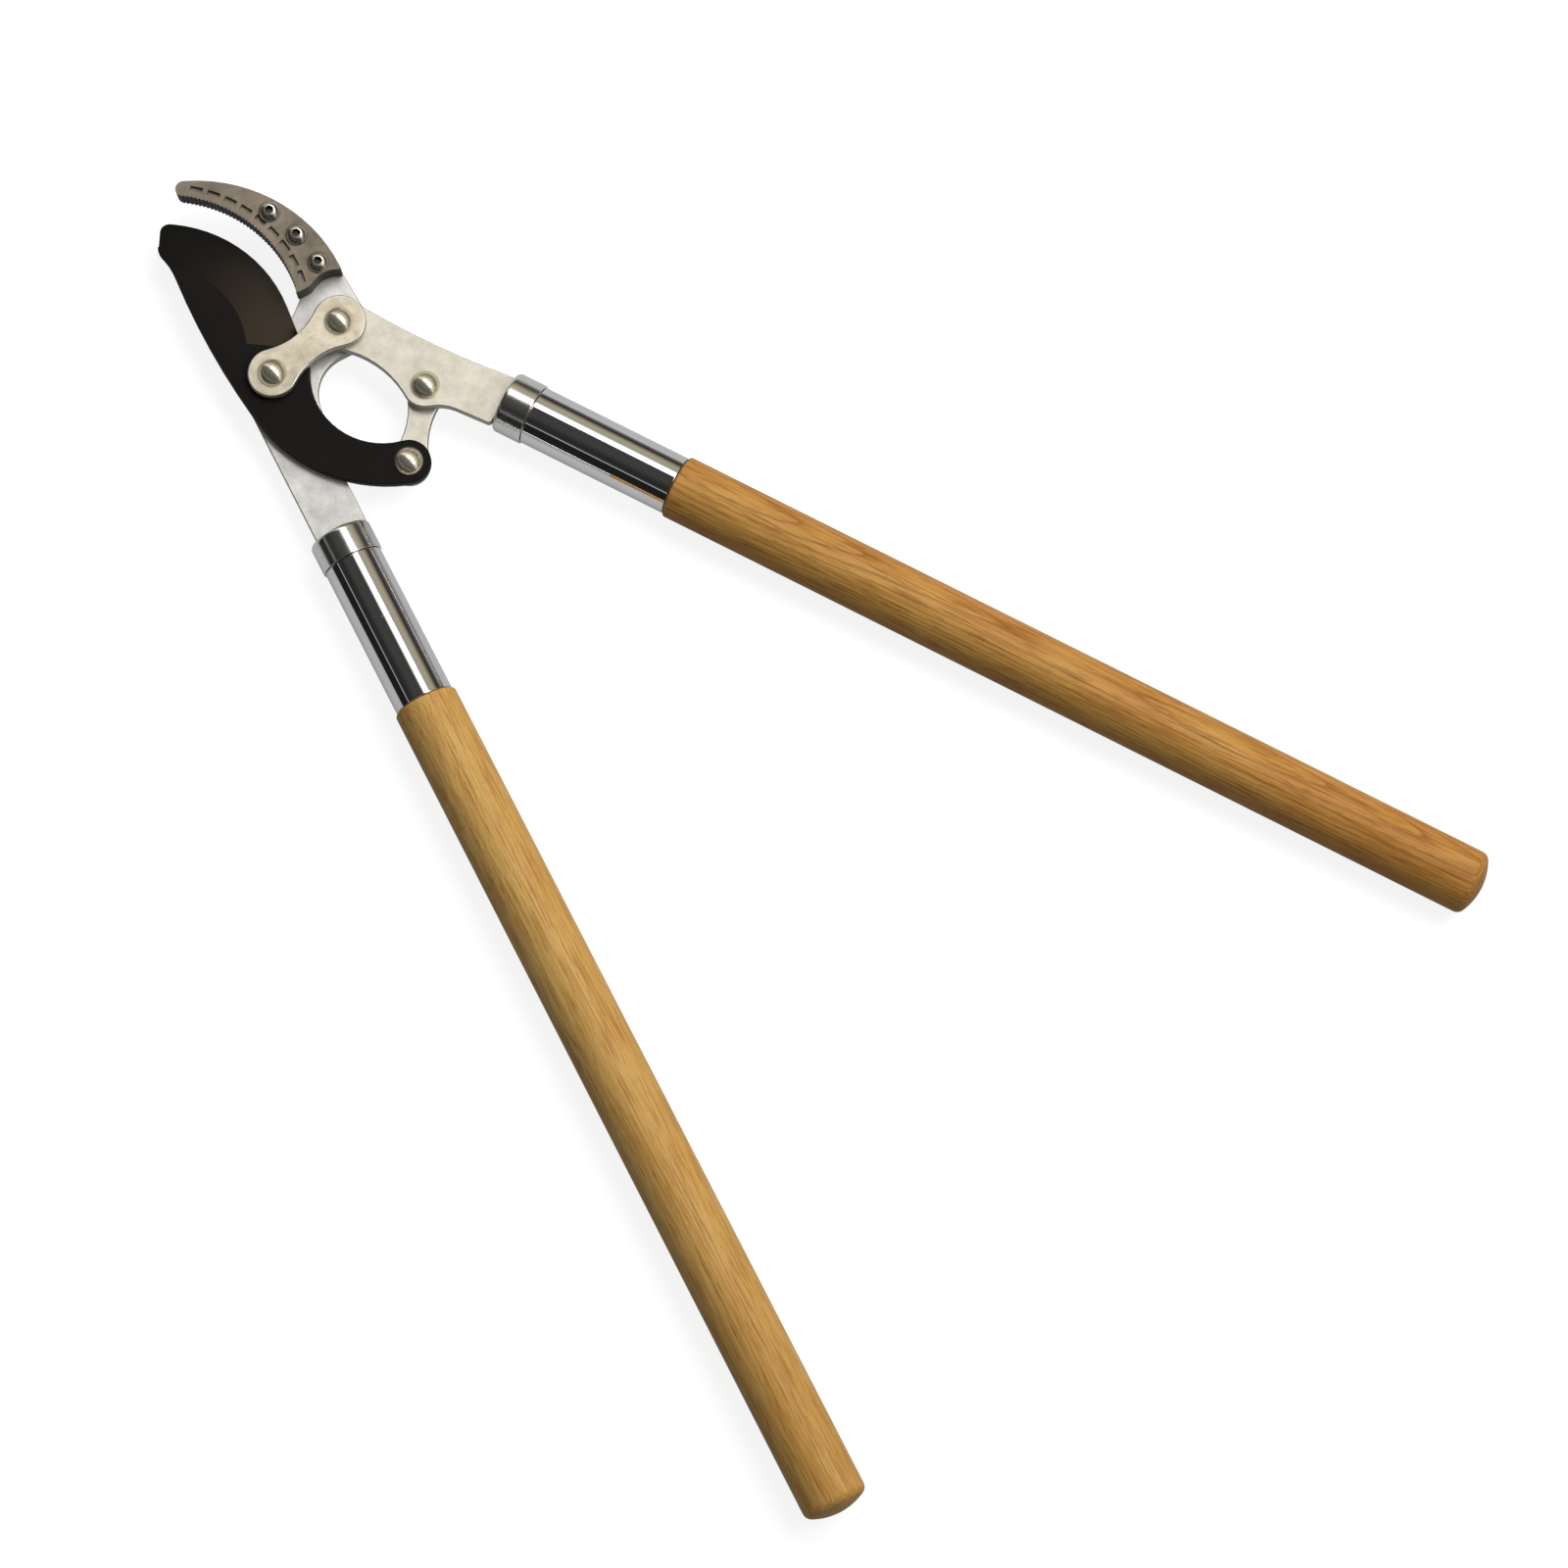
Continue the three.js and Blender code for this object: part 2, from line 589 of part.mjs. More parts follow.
function ferruleCap(name, slot) {
  const bore = INSERT - SPIGOT_WALL;
  const body = turned([
    [0, -CAP_WALL],
    [bore, -CAP_WALL],
    [bore, -CAP - CAP_SPIGOT],
    [INSERT, -CAP - CAP_SPIGOT],
    [INSERT, -CAP],
    [CAP_RADIUS, -CAP],
    ...quarter([CAP_RADIUS - CAP_SHOULDER, -CAP_SHOULDER], CAP_SHOULDER, 0, 90),
    [0, 0],
  ], CAP_RADIUS);
  return piece(name, cut(body, slot), 'bright');
}

function ferruleTube(name) {
  const front = -CAP - SEAT_GAP;
  const back = front - TUBE;
  return piece(name, turned([
    [TUBE_BORE, back],
    [TUBE_RADIUS, back],
    [TUBE_RADIUS, front],
    [TUBE_BORE, front],
    [TUBE_BORE, back],
  ], TUBE_RADIUS), 'chrome');
}

function woodHandle(name, slot) {
  const shoulder = -CAP - TUBE - 2 * SEAT_GAP;
  const butt = shoulder - WOOD;
  const body = turned([
    [0, butt],
    ...quarter([WOOD_RADIUS - BUTT_EDGE, butt + BUTT_EDGE], BUTT_EDGE, -90, 0),
    ...quarter([WOOD_RADIUS - WOOD_EDGE, shoulder - WOOD_EDGE], WOOD_EDGE, 0, 90, 3),
    [INSERT, shoulder],
    [INSERT, shoulder + NECK],
    [0, shoulder + NECK],
  ], WOOD_RADIUS);
  return piece(name, cut(body, slot), 'wood');
}

// ------------------------------------------------------------------------------------- assembly

const head = new THREE.Group();
head.add(fixedArmPlate(), anvilJaw(), topStrap(), movingArmPlate(), linkPlate(), blade());
head.add(
  rivet('blade_pivot_rivet', BLADE_PIVOT, STRAP_TOP),
  rivet('handle_pivot_rivet', HANDLE_PIVOT, STRAP_TOP),
  rivet('arm_link_rivet', ARM_PIN, UPPER_TOP),
  rivet('tail_link_rivet', TAIL_PIN, UPPER_TOP),
  washer('blade_pivot_washer', BLADE_PIVOT),
  washer('handle_pivot_washer', HANDLE_PIVOT),
  washer('arm_link_washer', ARM_PIN),
  washer('tail_link_washer', TAIL_PIN),
);
jawScrews.forEach((centre, i) => {
  head.add(jawScrew(`jaw_screw_${i + 1}`, centre), jawNut(`jaw_nut_${i + 1}`, centre));
});

const fixedHandle = handle('fixed', LOWER);
fixedHandle.position.set(0, -FERRULE_AHEAD, 0);
const movingHandle = handle('moving', UPPER);
movingHandle.position.set(...movingFront, 0);
movingHandle.rotation.z = SPREAD;

const loppers = new THREE.Group();
loppers.add(head, fixedHandle, movingHandle);
const bounds = new THREE.Box3().setFromObject(loppers);
const middle = bounds.getCenter(new THREE.Vector3());
loppers.position.set(-middle.x, -middle.y, -bounds.min.z);

const model = new THREE.Group();
model.add(loppers);

export default model;
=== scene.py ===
"""Anvil loppers: finished pieces, materials and a plain studio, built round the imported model.

Every piece is modelled at its own place in metres, with +Y along the fixed handle towards the head
and +Z up out of the side that shows the rivet heads.
"""

import json
import math

import bmesh
import bpy
from mathutils import Matrix, Vector

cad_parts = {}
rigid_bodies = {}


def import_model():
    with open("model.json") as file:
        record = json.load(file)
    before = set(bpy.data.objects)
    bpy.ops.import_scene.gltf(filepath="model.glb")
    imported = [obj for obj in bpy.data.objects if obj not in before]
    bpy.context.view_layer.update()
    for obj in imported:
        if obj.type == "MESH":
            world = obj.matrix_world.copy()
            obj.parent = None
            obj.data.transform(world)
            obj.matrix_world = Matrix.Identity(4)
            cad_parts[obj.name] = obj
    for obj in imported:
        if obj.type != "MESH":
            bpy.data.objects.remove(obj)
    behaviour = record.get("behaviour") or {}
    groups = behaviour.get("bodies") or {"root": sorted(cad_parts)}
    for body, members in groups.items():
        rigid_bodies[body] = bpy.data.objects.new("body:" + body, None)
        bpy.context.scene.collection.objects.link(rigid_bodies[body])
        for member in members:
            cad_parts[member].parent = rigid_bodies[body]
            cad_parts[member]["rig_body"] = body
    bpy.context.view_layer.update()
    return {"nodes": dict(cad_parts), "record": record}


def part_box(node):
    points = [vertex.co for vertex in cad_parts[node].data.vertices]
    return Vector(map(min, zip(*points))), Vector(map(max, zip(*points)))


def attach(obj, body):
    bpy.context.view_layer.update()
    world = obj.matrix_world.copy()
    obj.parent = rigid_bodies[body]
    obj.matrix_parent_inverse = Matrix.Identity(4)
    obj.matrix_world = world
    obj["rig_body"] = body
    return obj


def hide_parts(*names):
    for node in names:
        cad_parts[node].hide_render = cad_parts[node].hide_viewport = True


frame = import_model()

bl_info = {
    "name": "Anvil Loppers",
    "version": (1, 0, 0),
    "blender": (4, 5, 0),
    "location": "View3D > Sidebar > Loppers",
    "description": "Builds compound-action anvil loppers piece by piece",
    "category": "Add Mesh",
}

MM = 0.001
HANDLES = ("fixed", "moving")
CORE = 1 * MM  # radius of the flat in the middle of a turned end
SMOOTH_ANGLE = math.radians(32)
SHARP_ANGLE = math.radians(35)
LEVEL = 0.9999  # a level face's normal has at least this much of Z in it


# ------------------------------------------------------------------------- places from the frame

def middle(cad_node):
    """The middle of a node's box."""
    low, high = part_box(cad_node)
    return (low + high) / 2


def mount_axis(name):
    """The outward direction of a named mount."""
    found = [mount for mount in frame["record"]["mounts"] if mount["name"] == name]
    return Vector(found[0]["axis"]).normalized()


def vertices_of(cad_node):
    """Where the vertices of a node's mesh lie."""
    return [vertex.co for vertex in frame["nodes"][cad_node].data.vertices]


def reach(cad_node, origin, axis):
    """How far a node reaches along an axis and out from it: (nearest, farthest, widest)."""
    offsets = [spot - origin for spot in vertices_of(cad_node)]
    alongs = [offset.dot(axis) for offset in offsets]
    outs = [(offset - along * axis).length for offset, along in zip(offsets, alongs)]
    return min(alongs), max(alongs), max(outs)


def outs_from(centre, cad_node, level=None):
    """How far a node's vertices lie from the upright through a point, at one level or at all of them."""
    near = 0.1 * MM
    spots = [spot for spot in vertices_of(cad_node) if level is None or abs(spot.z - level) < near]
    return [(spot.xy - centre.xy).length for spot in spots]


class HandleLine:
    """The axis of one handle, from the front of its ferrule cap towards its butt."""

    def __init__(self, prefix):
        self.axis = mount_axis(f"{prefix}_handle_butt")
        self.origin = middle(f"{prefix}_ferrule_tube")
        front, back, self.cap_radius = reach(f"{prefix}_ferrule_cap", self.origin, self.axis)
        self.origin = self.origin + front * self.axis
        self.cap_back = back - front
        tube = reach(f"{prefix}_ferrule_tube", self.origin, self.axis)
        self.tube_start, self.tube_end, self.tube_radius = tube
        wood = reach(f"{prefix}_wood_handle", self.origin, self.axis)
        self.neck_start, self.butt, self.wood_radius = wood
        self.bearing = math.atan2(self.axis.y, self.axis.x)

    def placement(self):
        """Turns a piece made along +Z so that it runs along this handle."""
        turn = Matrix.Rotation(self.bearing, 4, "Z") @ Matrix.Rotation(math.radians(90), 4, "Y")
        return Matrix.Translation(self.origin) @ turn


# ------------------------------------------------------------------------------ modelling by hand

def deselect_all():
    if bpy.context.object and bpy.context.object.mode != "OBJECT":
        bpy.ops.object.mode_set(mode="OBJECT")
    bpy.ops.object.select_all(action="DESELECT")


def activate(piece):
    deselect_all()
    piece.select_set(True)
    bpy.context.view_layer.objects.active = piece


def edit(piece):
    activate(piece)
    bpy.ops.object.mode_set(mode="EDIT")
    bpy.ops.mesh.select_mode(type="VERT")
    bpy.ops.mesh.select_all(action="SELECT")


def leave_edit():
    bpy.ops.object.mode_set(mode="OBJECT")


def add(operator, name, **how):
    """Adds one of Blender's own objects and names it."""
    deselect_all()
    operator(**how)
    made = bpy.context.object
    made.name = name
    return made


def close_up(merge_distance=1e-6):
    """Merges doubles and turns all faces outwards, in edit mode with everything selected."""
    bpy.ops.mesh.remove_doubles(threshold=merge_distance)
    bpy.ops.mesh.normals_make_consistent(inside=False)


def turned(name, profile, sides, hollow=False):
    """A piece turned about Z, ring by ring, from (radius, height) pairs along its outline.

    A hollow outline comes back round to its first pair.
    """
    radius, height = profile[0]
    closing = "NOTHING" if hollow else "NGON"
    piece = add(
        bpy.ops.mesh.primitive_circle_add, name,
        vertices=sides, radius=radius, fill_type=closing, location=(0, 0, height),
    )
    bpy.ops.object.transform_apply()
    edit(piece)
    for next_radius, next_height in profile[1:]:
        rise = (0, 0, next_height - height)
        grow = next_radius / radius
        bpy.ops.mesh.extrude_region_move(TRANSFORM_OT_translate={"value": rise})
        bpy.ops.transform.resize(value=(grow, grow, 1), center_override=(0, 0, next_height))
        radius, height = next_radius, next_height
    bpy.ops.mesh.select_all(action="SELECT")
    close_up()
    leave_edit()
    return piece


def round_over(radius, centre, start, end, steps):
    """Points of a profile's round edge about a centre, from one angle in degrees to another."""
    angles = [math.radians(start + (end - start) * i / steps) for i in range(steps + 1)]
    return [(centre[0] + radius * math.cos(a), centre[1] + radius * math.sin(a)) for a in angles]


def dome(radius, height, steps, tip=0.25 * MM):
    """Points of a domed head's profile above its rim, up to a flat crown of the tip's radius."""
    sunk = (radius ** 2 - tip ** 2 - height ** 2) / (2 * height)
    ball = math.hypot(radius, sunk)
    start, end = math.degrees(math.atan2(sunk, radius)), math.degrees(math.atan2(height + sunk, tip))
    return round_over(ball, (0, -sunk), start, end, steps)


def apply_modifier(piece, kind, **settings):
    activate(piece)
    modifier = piece.modifiers.new(kind.title(), kind)
    for key, value in settings.items():
        setattr(modifier, key, value)
    bpy.ops.object.modifier_apply(modifier=modifier.name)


def cut_away(piece, cutter, operation="DIFFERENCE"):
    """Cuts one piece with another, which is used up."""
    apply_modifier(piece, "BOOLEAN", operation=operation, solver="EXACT", object=cutter)
    bpy.data.objects.remove(cutter)


def shade(piece):
    activate(piece)
    bpy.ops.object.shade_smooth_by_angle(angle=SMOOTH_ANGLE)
    apply_modifier(piece, "WEIGHTED_NORMAL", keep_sharp=True)


def sound_flats(piece):
    """Splits a piece's level flats into well-shaped triangles, so that none folds over a rounded hole."""
    edit(piece)
    bpy.ops.mesh.select_all(action="DESELECT")
    bpy.ops.mesh.select_mode(type="FACE")
    mesh = bmesh.from_edit_mesh(piece.data)
    for each in mesh.faces:
        each.select = abs(each.normal.z) > LEVEL and len(each.verts) > 4
    bmesh.update_edit_mesh(piece.data)
    bpy.ops.mesh.quads_convert_to_tris(quad_method="BEAUTY", ngon_method="BEAUTY")
    bpy.ops.mesh.beautify_fill(angle_limit=math.radians(1))
    leave_edit()


def soften(piece, width, segments=3, finish=-1):
    """Rounds a piece's sharp edges, gives them their own finish, and leaves the flats flat."""
    apply_modifier(
        piece, "BEVEL", width=width, segments=segments, limit_method="ANGLE", angle_limit=SHARP_ANGLE,
        use_clamp_overlap=False, loop_slide=False, miter_outer="MITER_ARC", material=finish,
    )
    shade(piece)
    sound_flats(piece)


def place(piece, matrix):
    """Moves a piece to its place, with the place in its mesh."""
    activate(piece)
    piece.matrix_world = matrix
    bpy.ops.object.transform_apply()


def stand(piece, centre):
    """Moves a piece made round the Z axis to stand on a point, at the heights it was made with."""
    place(piece, Matrix.Translation((centre.x, centre.y, 0)))


def prism(name, sides, radius, low, high, turn=0):
    """A prism on Z with the given number of sides, used as a cutter or as a nut's blank."""
    centre = (0, 0, (low + high) / 2)
    piece = add(
        bpy.ops.mesh.primitive_cylinder_add, name,
        vertices=sides, radius=radius, depth=high - low, location=centre, rotation=(0, 0, turn),
    )
    bpy.ops.object.transform_apply()
    return piece


def blank_from(cad_node, name, merge=2e-6):
    """A merged copy of a node's mesh, with its flat faces whole, ready to be worked on."""
    mesh = frame["nodes"][cad_node].data.copy()
    mesh.materials.clear()
    piece = bpy.data.objects.new(name, mesh)
    bpy.context.scene.collection.objects.link(piece)
    edit(piece)
    bpy.ops.mesh.customdata_custom_splitnormals_clear()
    close_up(merge_distance=merge)
    bpy.ops.mesh.dissolve_limited(angle_limit=math.radians(0.5), delimit=set())
    leave_edit()
    return piece


def select_edges(piece, wanted):
    """Selects, in edit mode, the edges for which wanted(edge) is true."""
    bpy.ops.mesh.select_all(action="DESELECT")
    bpy.ops.mesh.select_mode(type="EDGE")
    mesh = bmesh.from_edit_mesh(piece.data)
    for each in mesh.edges:
        each.select = wanted(each)
    mesh.select_flush_mode()
    bmesh.update_edit_mesh(piece.data)


def paint_faces(piece, index, wanted):
    """Gives the faces for which wanted(face) is true the piece's material of that index."""
    for each in piece.data.polygons:
        if wanted(each):
            each.material_index = index


def finish_with(piece, *names):
    """Gives a piece its materials by name."""
    piece.data.materials.clear()
    for name in names:
        piece.data.materials.append(bpy.data.materials[name])


def hand_over(piece, cad_node, slot, *names):
    """Gives a piece its materials and its body, and hides the node it stands for; the slot is not used."""
    if names:
        finish_with(piece, *names)
    body = frame["nodes"][cad_node]["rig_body"]
    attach(piece, body)
    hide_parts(cad_node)


# ------------------------------------------------------------------------------------ shader nodes

def feed(tree, inputs, values):
    """Links or sets inputs by their labels or numbers."""
    for label, value in values.items():
        if isinstance(value, bpy.types.NodeSocket):
            tree.links.new(value, inputs[label])
        else:
            inputs[label].default_value = value


def node(tree, kind, inputs=None, **settings):
    """Adds a node, sets its settings, and then feeds its inputs."""
    made = tree.nodes.new(kind)
    for key, value in settings.items():
        setattr(made, key, value)
    feed(tree, made.inputs, inputs or {})
    return made


def maths(tree, operation, *values, clamp=False):
    inputs = dict(enumerate(values))
    return node(tree, "ShaderNodeMath", inputs, operation=operation, use_clamp=clamp).outputs[0]


def spread_range(tree, value, low, high, to_low=0.0, to_high=1.0):
    inputs = {"Value": value, "From Min": low, "From Max": high, "To Min": to_low, "To Max": to_high}
    return node(tree, "ShaderNodeMapRange", inputs).outputs["Result"]


def noise(tree, vector, scale, detail=3.0, roughness=0.5):
    inputs = {"Vector": vector, "Scale": scale, "Detail": detail, "Roughness": roughness}
    return node(tree, "ShaderNodeTexNoise", inputs).outputs["Fac"]


def drawn_out(tree, vector, scales, detail, roughness=0.5):
    """Noise with its own scale along each axis."""
    stretched = node(tree, "ShaderNodeMapping", {"Vector": vector, "Scale": scales}).outputs["Vector"]
    return noise(tree, stretched, 1.0, detail, roughness)


def mixed(tree, factor, first, second):
    """A colour between two colours."""
    return node(tree, "ShaderNodeMix", {0: factor, 6: first, 7: second}, data_type="RGBA").outputs[2]


def scaled(shade_of, factor):
    """A colour made darker or lighter."""
    return [channel * factor for channel in shade_of[:3]] + [1]


def new_group(name, numbers, outputs):
    """A shader node group that takes a vector and named numbers, and gives out named numbers."""
    group = bpy.data.node_groups.new(name, "ShaderNodeTree")
    socket = group.interface.new_socket
    socket(name="Vector", in_out="INPUT", socket_type="NodeSocketVector")
    for label, default in numbers.items():
        socket(name=label, in_out="INPUT", socket_type="NodeSocketFloat").default_value = default
    for label in outputs:
        socket(name=label, in_out="OUTPUT", socket_type="NodeSocketFloat")
    return group, group.nodes.new("NodeGroupInput").outputs, group.nodes.new("NodeGroupOutput").inputs


def group_node(tree, name, inputs):
    """Adds a shader node group by its name and gives back its outputs."""
    return node(tree, "ShaderNodeGroup", inputs, node_tree=bpy.data.node_groups[name]).outputs


def worn_surface_group():
    """Cloudy patches, fine grain and hair scratches of a worked metal surface."""
    numbers = {"Patch Scale": 60.0, "Grain Scale": 2200.0, "Scratch Turn": 0.0}
    outputs = ("Patches", "Grain", "Scratches", "Specks")
    group, given, results = new_group("worn surface", numbers, outputs)
    vector = given["Vector"]
    cloud = noise(group, vector, given["Patch Scale"], detail=5, roughness=0.62)
    broad = noise(group, vector, maths(group, "MULTIPLY", given["Patch Scale"], 0.23), detail=2)
    cloud = maths(group, "ADD", maths(group, "MULTIPLY", cloud, 0.6), maths(group, "MULTIPLY", broad, 0.4))
    grain = noise(group, vector, given["Grain Scale"], detail=2)
    turn = node(group, "ShaderNodeVectorRotate", {"Vector": vector, "Angle": given["Scratch Turn"]})
    hair = drawn_out(group, turn.outputs[0], (90, 2600, 90), detail=3, roughness=0.7)
    speck = node(group, "ShaderNodeTexVoronoi", {"Vector": vector, "Scale": 130.0}, feature="F1")
    feed(group, results, {
        "Patches": spread_range(group, cloud, 0.38, 0.62),
        "Grain": grain,
        "Scratches": spread_range(group, hair, 0.62, 0.75),
        "Specks": spread_range(group, speck.outputs["Distance"], 0.11, 0.05),
    })


def ash_group():
    """Ash: growth rings as wide cylinders that a lean brings out in loops, with pores along the grain."""
    numbers = {
        "Ring Spacing": 2.2 * MM, "Lean": 0.02, "Turn": 0.0, "Wander": 2 * MM, "Curl": 0.0, "Pith": 60 * MM,
    }
    outputs = ("Rings", "Pores", "Clouds", "Fibres")
    group, given, results = new_group("ash figure", numbers, outputs)
    vector = given["Vector"]

    def swell(scales, detail, amount):
        """A slow noise to both sides of nothing."""
        centred = maths(group, "SUBTRACT", drawn_out(group, vector, scales, detail), 0.5)
        return maths(group, "MULTIPLY", centred, amount)

    inputs = {"Vector": vector, "Angle": given["Turn"]}
    turn = node(group, "ShaderNodeVectorRotate", inputs, rotation_type="Y_AXIS")
    parts = node(group, "ShaderNodeSeparateXYZ", {"Vector": turn.outputs[0]}).outputs
    slow = swell((18, 4.5, 18), 1, given["Wander"])
    ripple = swell((45, 130, 45), 2, given["Curl"])
    lengthwise = node(group, "ShaderNodeSeparateXYZ", {"Vector": vector}).outputs["Y"]
    along = maths(group, "ABSOLUTE", lengthwise)
    ripple = maths(group, "MULTIPLY", ripple, spread_range(group, along, 0.15, 0.23, 1.0, 0.12))
    lean = maths(group, "MULTIPLY", parts["Y"], given["Lean"])
    deep = maths(group, "ADD", maths(group, "ADD", parts["Z"], given["Pith"]), lean)
    deep_squared, across_squared = (maths(group, "MULTIPLY", part, part) for part in (deep, parts["X"]))
    out = maths(group, "SQRT", maths(group, "ADD", deep_squared, across_squared))
    out = maths(group, "ADD", maths(group, "ADD", out, slow), ripple)
    ring = maths(group, "FRACT", maths(group, "DIVIDE", out, given["Ring Spacing"]))
    late = maths(group, "POWER", ring, 6.0)
    fade = spread_range(group, ring, 1.0, 0.93)
    pore = drawn_out(group, vector, (1700, 110, 1700), detail=1)
    early = spread_range(group, ring, 0.45, 0.1)
    feed(group, results, {
        "Rings": maths(group, "MULTIPLY", late, fade),
        "Pores": maths(group, "MULTIPLY", spread_range(group, pore, 0.54, 0.66), early),
        "Clouds": drawn_out(group, vector, (30, 7, 30), detail=3),
        "Fibres": drawn_out(group, vector, (950, 38, 950), detail=4, roughness=0.65),
    })


def new_material(name):
    """A material with its Principled shader and object coordinates: (material, tree, shader, vector)."""
    material = bpy.data.materials.new(name)
    material.use_nodes = True
    tree = material.node_tree
    shader = tree.nodes["Principled BSDF"]
    vector = node(tree, "ShaderNodeTexCoord").outputs["Object"]
    return material, tree, shader, vector


def relief(tree, height, strength, distance):
    inputs = {"Height": height, "Strength": strength, "Distance": distance}
    return node(tree, "ShaderNodeBump", inputs).outputs["Normal"]


def satin_metal(
    name, colours, metallic, roughness, specular=0.5, patch_scale=60.0, grain_scale=2200.0,
    bump=0.06, turn=0.0,
):
    """Worked metal: two shades in cloudy patches, fine grain, a few hair scratches and specks."""
    material, tree, shader, vector = new_material(name)
    inputs = {"Vector": vector, "Patch Scale": patch_scale, "Grain Scale": grain_scale, "Scratch Turn": turn}
    patches, grain, scratches, specks = group_node(tree, "worn surface", inputs)
    dark, light = colours
    lightness = maths(tree, "MULTIPLY_ADD", patches, 0.85, maths(tree, "MULTIPLY_ADD", grain, 0.6, -0.23))
    clouded = mixed(tree, maths(tree, "MAXIMUM", lightness, 0.0, clamp=True), dark, light)
    pitted = mixed(tree, maths(tree, "MULTIPLY", specks, 0.25), clouded, scaled(dark, 0.4))
    rough = maths(tree, "MULTIPLY_ADD", patches, roughness[1] - roughness[0], roughness[0])
    rough = maths(tree, "MULTIPLY_ADD", scratches, -0.08, rough)
    height = maths(tree, "MULTIPLY_ADD", scratches, -0.5, grain)
    feed(tree, shader.inputs, {
        "Base Color": pitted, "Metallic": metallic, "Roughness": rough, "Specular IOR Level": specular,
        "Normal": relief(tree, height, bump, 0.3 * MM),
    })
    return material


def ground_bevel(name, settings):
    """The blade's ground bevel, where the coating thins towards the heel."""
    coated = (settings.blade_coating, scaled(settings.blade_coating, 1.5))
    material = satin_metal(name, coated, 0.0, (0.4, 0.48), specular=0.05, bump=0.05, turn=0.9)
    tree = material.node_tree
    shader = tree.nodes["Principled BSDF"]
    coating = shader.inputs["Base Color"].links[0].from_socket
    vector = node(tree, "ShaderNodeTexCoord").outputs["Object"]
    heel = middle("blade_pivot_rivet")
    away = node(tree, "ShaderNodeVectorMath", {0: vector, 1: (heel.x, heel.y, 0)}, operation="DISTANCE")
    far = settings.worn_reach
    inputs = {"Value": away.outputs["Value"], "From Min": far, "From Max": 0.3 * far}
    thin = node(tree, "ShaderNodeMapRange", inputs, interpolation_type="SMOOTHSTEP").outputs["Result"]
    feed(tree, shader.inputs, {"Base Color": mixed(tree, thin, coating, settings.blade_ground)})


def polished_metal(name, clean, roughness, smear=0.05, metallic=1.0):
    """Bright metal with faint smears and pin specks in its gloss."""
    _, tree, shader, vector = new_material(name)
    surface = group_node(tree, "worn surface", {"Vector": vector, "Patch Scale": 45.0})
    tint = mixed(tree, maths(tree, "MULTIPLY", surface["Patches"], 0.4), clean, scaled(clean, 0.82))
    rough = maths(tree, "MULTIPLY_ADD", surface["Patches"], smear, roughness)
    rough = maths(tree, "MULTIPLY_ADD", surface["Specks"], 0.12, rough)
    feed(tree, shader.inputs, {"Base Color": tint, "Metallic": metallic, "Roughness": rough})


def ash_wood(name, line, colours, figure, contrast):
    """Lacquered ash with its grain running along one handle."""
    pale, warm, dark, open_pore = colours
    material, tree, shader, vector = new_material(name)
    turn = line.bearing + math.radians(90)
    inputs = {"Vector": vector, "Location": line.origin, "Rotation": (0, 0, turn)}
    local = node(tree, "ShaderNodeMapping", inputs, vector_type="TEXTURE").outputs["Vector"]
    rings, pores, clouds, fibres = group_node(tree, "ash figure", {"Vector": local, **figure})
    ground = mixed(tree, spread_range(tree, clouds, 0.3, 0.7), pale, warm)
    ringed = mixed(tree, maths(tree, "MULTIPLY", rings, contrast), ground, dark)
    streaked = mixed(tree, spread_range(tree, fibres, 0.46, 0.7, 0.0, 0.8), ringed, dark)
    pored = mixed(tree, maths(tree, "MULTIPLY", pores, 0.6), streaked, open_pore)
    rough = maths(tree, "MULTIPLY_ADD", pores, 0.2, spread_range(tree, fibres, 0.3, 0.7, 0.42, 0.52))
    height = maths(tree, "MULTIPLY_ADD", pores, -0.8, maths(tree, "MULTIPLY", fibres, 0.4))
    feed(tree, shader.inputs, {
        "Base Color": pored, "Roughness": rough, "Specular IOR Level": 0.2,
        "Normal": relief(tree, height, 0.12, 0.2 * MM),
    })
    return material


# ---------------------------------------------------------------------------------------- settings

def setting(name, description, default, **more):
    return bpy.props.FloatProperty(name=name, description=description, default=default, **more)


def length(name, description, default):
    return setting(name, description, default, min=0.0, precision=5, unit="LENGTH", subtype="DISTANCE")


def colour(name, description, rgb):
    return bpy.props.FloatVectorProperty(
        name=name, description=description, default=(*rgb, 1), size=4, min=0.0, max=1.0, subtype="COLOR"
    )


